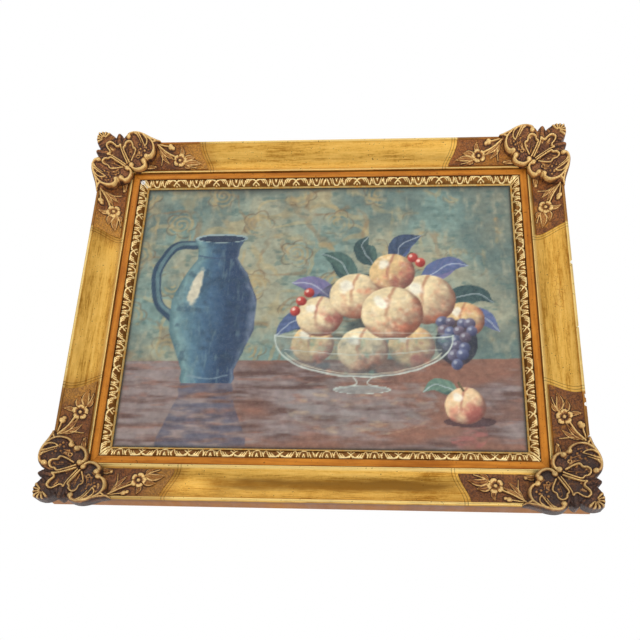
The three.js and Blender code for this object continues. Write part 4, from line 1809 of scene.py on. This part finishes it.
    def jug(self, wash: Wash) -> None:
        """A tall slate-blue jug with a handle, and its reflection.

        Args:
            wash: The picture.
        """
        foot_x, foot_y = self.jug_foot
        x, y = wash.x + 0.5 * wash.waver_x, wash.y + 0.3 * wash.waver_y
        heights, halves = np.array(self.jug_profile).T
        mirrored = np.where(y < foot_y, 2 * foot_y - y, y) - foot_y
        u = (x - foot_x) / np.interp(mirrored, heights, halves)
        inside = ease(1 - np.abs(u), 0, 1.4 / 40) * (mirrored < heights[-1])
        reflected = inside * (y < foot_y) * (mirrored > 0)
        wash.lay((78, 84, 106), 0.62 * reflected * ease(wash.cloud(4, 149, wide=0.2), -0.5, 0.4))
        handle = [(foot_x + dx, foot_y + dy) for dx, dy in self.jug_handle]
        wash.stroke(handle, 10.5, (54, 76, 96))
        wash.stroke([(px + 1.4, py + 1.6) for px, py in handle], 4.2, (110, 140, 142), 0.8)
        body = inside * (y >= foot_y)
        stops = [stop for stop, _ in self.jug_tints]
        tints = np.array([tint for _, tint in self.jug_tints])
        turn = u + 0.06 * mottle(wash.x, wash.y, 7, 151)
        wash.lay(np.stack([np.interp(turn, stops, channel) for channel in tints.T], axis=-1), body)
        wash.lay((56, 78, 96), body * 0.5 * ease(wash.cloud(9, 157), 0.05, 0.55))
        wash.lay((128, 152, 152), body * 0.4 * ease(wash.cloud(7, 163, 2, 0.5), 0.2, 0.65))
        glow = np.exp(-(((u + 0.52) / 0.16) ** 2) - ((mirrored - 112) / 24) ** 2)
        glow = glow + 0.1 * mottle(wash.x, wash.y, 3, 167)
        wash.lay((222, 212, 184), body * 0.95 * ease(glow, 0.28, 0.6))
        for up, tint in ((150, (58, 74, 102)), (8, (140, 160, 168))):
            ring = [(foot_x + dx, foot_y + up + sag) for dx, sag in ((-21, 0), (0, -3), (21, 0))]
            wash.stroke(ring, 1.8, tint, 0.6)
        mouth = ((172, 30, 0.2, (150, 170, 170)), (171.4, 26.5, 0.17, (52, 66, 86)))
        for up, radius, height, tint in mouth:
            wash.lay(tint, wash.round((foot_x + 2, foot_y + up), radius, height)[2])

    def fruit(self, wash: Wash, centre: Point, radius: float, skin: Skin, seed: int) -> None:
        """A round fruit lit from the upper left, with a blush and a soft seam, in loose dabs.

        Args:
            wash: The picture.
            centre: Its middle.
            radius: Its radius.
            skin: Its colours.
            seed: What the random values start from.
        """
        base, blush = skin.value
        u, v, cover = wash.round(centre, radius, 0.95)
        depth = np.sqrt(np.clip(1 - u * u - v * v, 0, 1))
        dabs = clouds(wash.x + 0.5 * wash.y, wash.y, 6.5, seed, 2)
        light = ease(-0.46 * u + 0.5 * v + 0.6 * depth + 0.26 * dabs, -0.4, 0.7)
        wash.lay(between(self.shadow, base, light), cover)
        warm = ease(0.5 * u - 0.45 * v + 0.8 * wash.cloud(11, seed + 3), -0.1, 0.8)
        wash.lay(np.asarray(blush) * (0.66 + 0.34 * light[:, None]), cover * 0.75 * warm)
        wash.lay((252, 240, 210), cover * 0.35 * ease(wash.cloud(4.5, seed + 5), 0.2, 0.55) * light)
        seam = np.abs(u + 0.3 * (1 - v * v) - 0.12 + 0.05 * dabs)
        wash.lay(np.asarray(blush) * 0.72, cover * 0.5 * ease(0.11 - seam, 0, 0.1) * ease(v, -0.7, 0.3))
        shine = np.hypot(u + 0.36, v - 0.42) + 0.12 * dabs
        wash.lay((255, 250, 230), cover * 0.8 * ease(0.26 - shine, -0.06, 0.12))
        rim = ease(np.hypot(u, v), 0.8, 0.98)
        wash.lay((120, 84, 70), cover * 0.7 * rim * ease(u - v, -0.7, 1.0))

    def dish(self, wash: Wash) -> None:
        """A shallow glass dish on a low foot, heaped with fruit, grapes, leaves and berries.

        Args:
            wash: The picture.
        """
        cx, cy = self.dish_middle
        _, _, pool = wash.round((cx, cy - 76), 78, 0.42)
        wash.lay((150, 146, 142), 0.5 * pool * ease(wash.cloud(4, 211, wide=0.3), -0.3, 0.5))
        wash.lay((206, 178, 140), 0.4 * pool * ease(wash.cloud(6, 223, wide=0.4), 0.1, 0.6))
        self.foliage(wash, cx, cy)
        _, _, gloom = wash.round((cx + 16, cy + 30), 72, 0.6)
        wash.lay((58, 64, 66), 0.7 * gloom * ease(wash.cloud(22, 229), -0.5, 0.2))
        for number, (dx, dy, radius, skin) in enumerate(self.heap):
            self.fruit(wash, (cx + dx, cy + dy), radius, skin, 300 + 11 * number)
        self.grapes(wash, cx + 96, cy - 2)
        for dx, dy in self.berries:
            self.berry(wash, (cx + dx, cy + dy))
        self.bowl(wash, cx, cy)

    def foliage(self, wash: Wash, cx: float, cy: float) -> None:
        """Leaves and stems behind and between the fruit.

        Args:
            wash: The picture.
            cx: The middle to the right.
            cy: The middle up.
        """
        tints = ((self.violet, self.slate), (self.sage, (60, 82, 84)), (self.slate, (62, 78, 100)))
        for number, points in enumerate(self.dish_leaves):
            wash.leaf([(cx + dx, cy + dy) for dx, dy in points], 24, *tints[number % len(tints)])
        for points in self.dish_stems:
            wash.stroke([(cx + dx, cy + dy) for dx, dy in points], 1.6, self.stem)

    def grapes(self, wash: Wash, cx: float, cy: float) -> None:
        """A small bunch of slate-violet grapes over the dish's edge.

        Args:
            wash: The picture.
            cx: The middle to the right.
            cy: The middle up.
        """
        random = np.random.default_rng(7)
        wash.lay((44, 44, 58), 0.8 * wash.round((cx, cy - 6), 22, 1.2)[2])
        for row, count in enumerate(self.grape_rows):
            for k in range(count):
                dx, dy, size, hue = random.uniform(-1, 1, 4)
                centre = (cx + (k - (count - 1) / 2) * 10 + 2.4 * dx, cy + 16 - 9 * row + 2 * dy)
                u, v, cover = wash.round(centre, 6.8 + 0.9 * size)
                dark = np.array((62 + 12 * hue, 60, 84 - 10 * hue))
                light = ease(-0.5 * u + 0.6 * v, -0.9, 1.0)
                wash.lay(between(dark, dark + (74, 74, 72), light), cover * 0.94)
                wash.lay((196, 200, 206), cover * 0.7 * ease(0.3 - np.hypot(u + 0.3, v - 0.34), -0.1, 0.16))

    def berry(self, wash: Wash, centre: Point) -> None:
        """One red berry with a shine.

        Args:
            wash: The picture.
            centre: Its middle.
        """
        u, v, cover = wash.round(centre, 6.4)
        wash.lay(between((138, 44, 44), (216, 90, 78), ease(-0.5 * u + 0.6 * v, -0.9, 0.8)), cover)
        wash.lay((248, 206, 186), cover * ease(0.28 - np.hypot(u + 0.34, v - 0.36), -0.1, 0.1))

    def bowl(self, wash: Wash, cx: float, cy: float) -> None:
        """The glass itself: a veil of reflections with thin bright edges.

        Args:
            wash: The picture.
            cx: The middle to the right.
            cy: The middle up.
        """
        u = (wash.x + 0.3 * wash.waver_x - cx) / self.dish_reach
        floor = -self.dish_depth * np.sqrt(np.clip(1 - np.abs(u) ** 2.3, 0, 1))
        v = wash.y + 0.3 * wash.waver_y - cy
        rim = 2 * np.sqrt(np.clip(1 - u * u, 0, 1))
        veil = ease(v - floor, 0, 1.5) * ease(-v - rim, 0, 1.5) * (np.abs(u) < 1)
        wash.lay((120, 132, 130), 0.34 * veil)
        patches = wash.cloud(16, 401, layers=4)
        wash.lay((214, 200, 160), veil * 0.4 * ease(patches, 0.05, 0.6))
        wash.lay((70, 88, 96), veil * 0.45 * ease(-patches, 0.1, 0.6))
        wash.lay((196, 124, 100), veil * 0.45 * ease(wash.cloud(10, 419), 0.2, 0.7))
        wash.lay((122, 160, 142), veil * 0.5 * ease(wash.cloud(9, 431), 0.25, 0.7))
        turns = [(math.cos(a), math.sin(a)) for a in np.linspace(math.pi, 2 * math.pi, 25)]
        outline = [(cx + self.dish_reach * c, cy + self.dish_depth * math.copysign(abs(s) ** 0.87, s))
                   for c, s in turns]
        wash.stroke(outline, 1.7, self.glass, 0.9)
        inner = [(px * 0.94 + cx * 0.06, py * 0.9 + cy * 0.1 - 2) for px, py in outline[3:-3]]
        wash.stroke(inner, 1.2, (236, 230, 200), 0.6)
        for lift, strength in ((3.5, 0.35), (-3.5, 0.9)):
            mouth = [(cx + self.dish_reach * math.cos(a), cy + lift * math.sin(a))
                     for a in np.linspace(0, math.pi, 17)]
            wash.stroke(mouth, 1.5, self.glass, strength)
        wash.stroke([(cx - 80, cy - 16), (cx, cy - 22), (cx + 80, cy - 16)], 1.1, (196, 206, 196), 0.6)
        for way in (-1, 1):
            stem = [(cx + 10 * way, cy - 46), (cx + 6 * way, cy - 54), (cx + 28 * way, cy - 60)]
            wash.stroke(stem, 1.4, self.glass, 0.8)
        u, v, base = wash.round((cx, cy - 60), 30, 0.16)
        wash.lay((150, 160, 156), 0.6 * base)
        wash.lay(self.glass, base * 0.8 * ease(np.hypot(u, v), 0.86, 0.96))

    def single_fruit(self, wash: Wash) -> None:
        """One pink fruit with a leaf on the table, and its reflection.

        Args:
            wash: The picture.
        """
        x, y = self.lone_fruit
        _, _, under = wash.round((x + 2, y - 30), 20, 0.8)
        wash.lay((176, 106, 100), 0.6 * under * ease(wash.cloud(4, 503, wide=0.3), -0.4, 0.4))
        wash.lay((66, 48, 54), 0.7 * wash.round((x + 4, y - 17), 26, 0.22)[2])
        leaf = [(x - 6, y + 14), (x - 28, y + 22), (x - 42, y + 14)]
        wash.leaf(leaf, 15, (112, 140, 122), (70, 96, 92))
        self.fruit(wash, (x, y), 21, Skin.PINK, 511)
        wash.stroke([(x - 1, y + 16), (x - 6, y + 24)], 2.2, (92, 84, 60))

    def brushwork(self, wash: Wash) -> None:
        """Loose strokes and paper grain over the whole picture.

        Args:
            wash: The picture.
        """
        x, y = wash.x, wash.y
        slanted = clouds(x + 0.6 * y, y * 0.5 - 0.3 * x, 5, 601)
        strokes = 0.6 * slanted + 0.5 * wash.cloud(3.4, 613, wide=0.4)
        wash.colour *= 1 + 0.13 * strokes[:, None]
        wash.colour += 9 * wash.cloud(3, 619)[:, None] * np.array([1, 0.9, 0.6])

    def edge_shade(self, wash: Wash) -> None:
        """The frame's painted shadow round the picture's edge, darkest right at the edge and deeper along
        the top.

        Args:
            wash: The picture.
        """
        sight_x = self.sizes.width / 2 - self.sizes.sight_from
        sight_y = self.sizes.height / 2 - self.sizes.sight_from
        inside = np.minimum(sight_x - np.abs(wash.x), sight_y - np.abs(wash.y))
        wash.lay((62, 58, 50), 0.4 * ease(-inside, -5, 1))
        wash.lay((40, 38, 30), 0.7 * ease(-inside, -2.2, -0.6))
        # painted shadow under the top of the frame
        wash.lay((58, 60, 56), 0.35 * ease(wash.y - sight_y, -9, 0))


# The room


@dataclass
class Studio:
    """A pale floor under the hanging frame, soft lights and the camera at the photograph's angle."""

    sizes: FrameSizes
    from_middle: tuple = (0.075596, -0.827812, -0.404471)
    turn: tuple = (115.63526, -2.12631, 4.37365)
    lens: float = 48.682
    floor_level: float = -1.5
    sensor: float = 36.0
    front_glow: tuple = (
        (0.0, 0.9), (0.38, 1.05), (0.47, 0.55), (0.54, 0.05), (0.63, 0.06), (0.78, 0.95), (1.0, 0.9))
    floor_tones: tuple = ((0.3, (0.85, 0.85, 0.85, 1)), (0.7, (0.9, 0.9, 0.9, 1)))
    lights: tuple = (
        ("window_light", (0.9, -1.3, -0.8), 0.9, 9), ("ceiling_light", (-0.7, -1.3, 0.9), 2.0, 8))

    def middle(self) -> Vector:
        """The middle of the picture."""
        return Vector((0, 0, self.sizes.centre_z))

    def camera(self) -> None:
        """Adds the camera."""
        place = self.middle() + Vector(self.from_middle)
        bpy.ops.object.camera_add(location=place, rotation=[math.radians(angle) for angle in self.turn])
        camera = bpy.context.object
        camera.data.lens = self.lens
        camera.data.sensor_width = self.sensor
        bpy.context.scene.camera = camera

    def light(self, name: str, place: tuple, size: float, power: float) -> None:
        """Adds one soft square light turned towards the picture's middle.

        Args:
            name: Its name.
            place: Where it is, in metres.
            size: Its width in metres.
            power: Its power in watts.
        """
        bpy.ops.object.light_add(type="AREA", location=place)
        lamp = bpy.context.object
        lamp.name = name
        lamp.data.shape = "SQUARE"
        lamp.data.size = size
        lamp.data.energy = power
        away = lamp.location - self.middle()
        lamp.rotation_euler = away.to_track_quat("Z", "Y").to_euler()

    def floor(self) -> None:
        """Adds the floor."""
        bpy.ops.mesh.primitive_plane_add(size=30, location=(0, 0, self.floor_level))
        floor = bpy.context.object
        floor.name = "studio_floor"
        bench = Bench("pale_floor")
        tone = bench.colours(bench.noise(bench.place(), 3), *self.floor_tones)
        bench.set(Base_Color=tone, Roughness=0.9)
        floor.data.materials.append(bench.material)

    def surroundings(self) -> None:
        """White behind the frame, and a softer room in front of it, darker at eye height."""
        world = bpy.context.scene.world or bpy.data.worlds.new("studio")
        bpy.context.scene.world = world
        world.use_nodes = True
        tree = world.node_tree
        parts = tree.nodes.new("ShaderNodeSeparateXYZ")
        tree.links.new(tree.nodes.new("ShaderNodeTexCoord").outputs["Generated"], parts.inputs[0])
        height = tree.nodes.new("ShaderNodeMapRange")
        height.inputs["From Min"].default_value = -1
        tree.links.new(parts.outputs["Z"], height.inputs["Value"])
        glow = tree.nodes.new("ShaderNodeValToRGB")
        for _ in self.front_glow[2:]:
            glow.color_ramp.elements.new(0.5)
        for element, (place, level) in zip(glow.color_ramp.elements, self.front_glow):
            element.position = place
            element.color = (level, level, level * 1.02, 1)
        tree.links.new(height.outputs[0], glow.inputs[0])
        behind = tree.nodes.new("ShaderNodeMapRange")
        behind.inputs["From Min"].default_value = -0.15
        behind.inputs["From Max"].default_value = 0.1
        tree.links.new(parts.outputs["Y"], behind.inputs["Value"])
        both = tree.nodes.new("ShaderNodeMix")
        both.data_type = "RGBA"
        tree.links.new(behind.outputs[0], both.inputs[0])
        tree.links.new(glow.outputs[0], both.inputs[6])
        both.inputs[7].default_value = (1, 1, 1, 1)
        tree.links.new(both.outputs[2], tree.nodes["Background"].inputs["Color"])

    def build(self) -> None:
        """Adds the floor, the surroundings, the lights and the camera."""
        self.floor()
        self.surroundings()
        bpy.context.scene.view_settings.view_transform = "Standard"
        for light in self.lights:
            self.light(*light)
        self.camera()


def main() -> None:
    """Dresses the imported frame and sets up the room."""
    logging.basicConfig(level=logging.INFO, format="%(message)s")
    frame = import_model()
    sizes = FrameSizes.from_solids()
    log.info("frame %.1f x %.1f mm, rails %.1f mm", sizes.width, sizes.height, sizes.rail_width)
    moulding = Moulding(sizes)
    moulding.build(RailGilding().material())
    SightSlip(sizes).build(SlipGilding().material())
    ShellCorner(sizes, moulding).build(CastToning().material())
    StillLife(sizes).build(PaperWash().material())
    board = frame["nodes"]["backing_board"]
    board.data.materials.clear()
    board.data.materials.append(BareBoard().material())
    Studio(sizes).build()


if __name__ == "__main__":
    main()
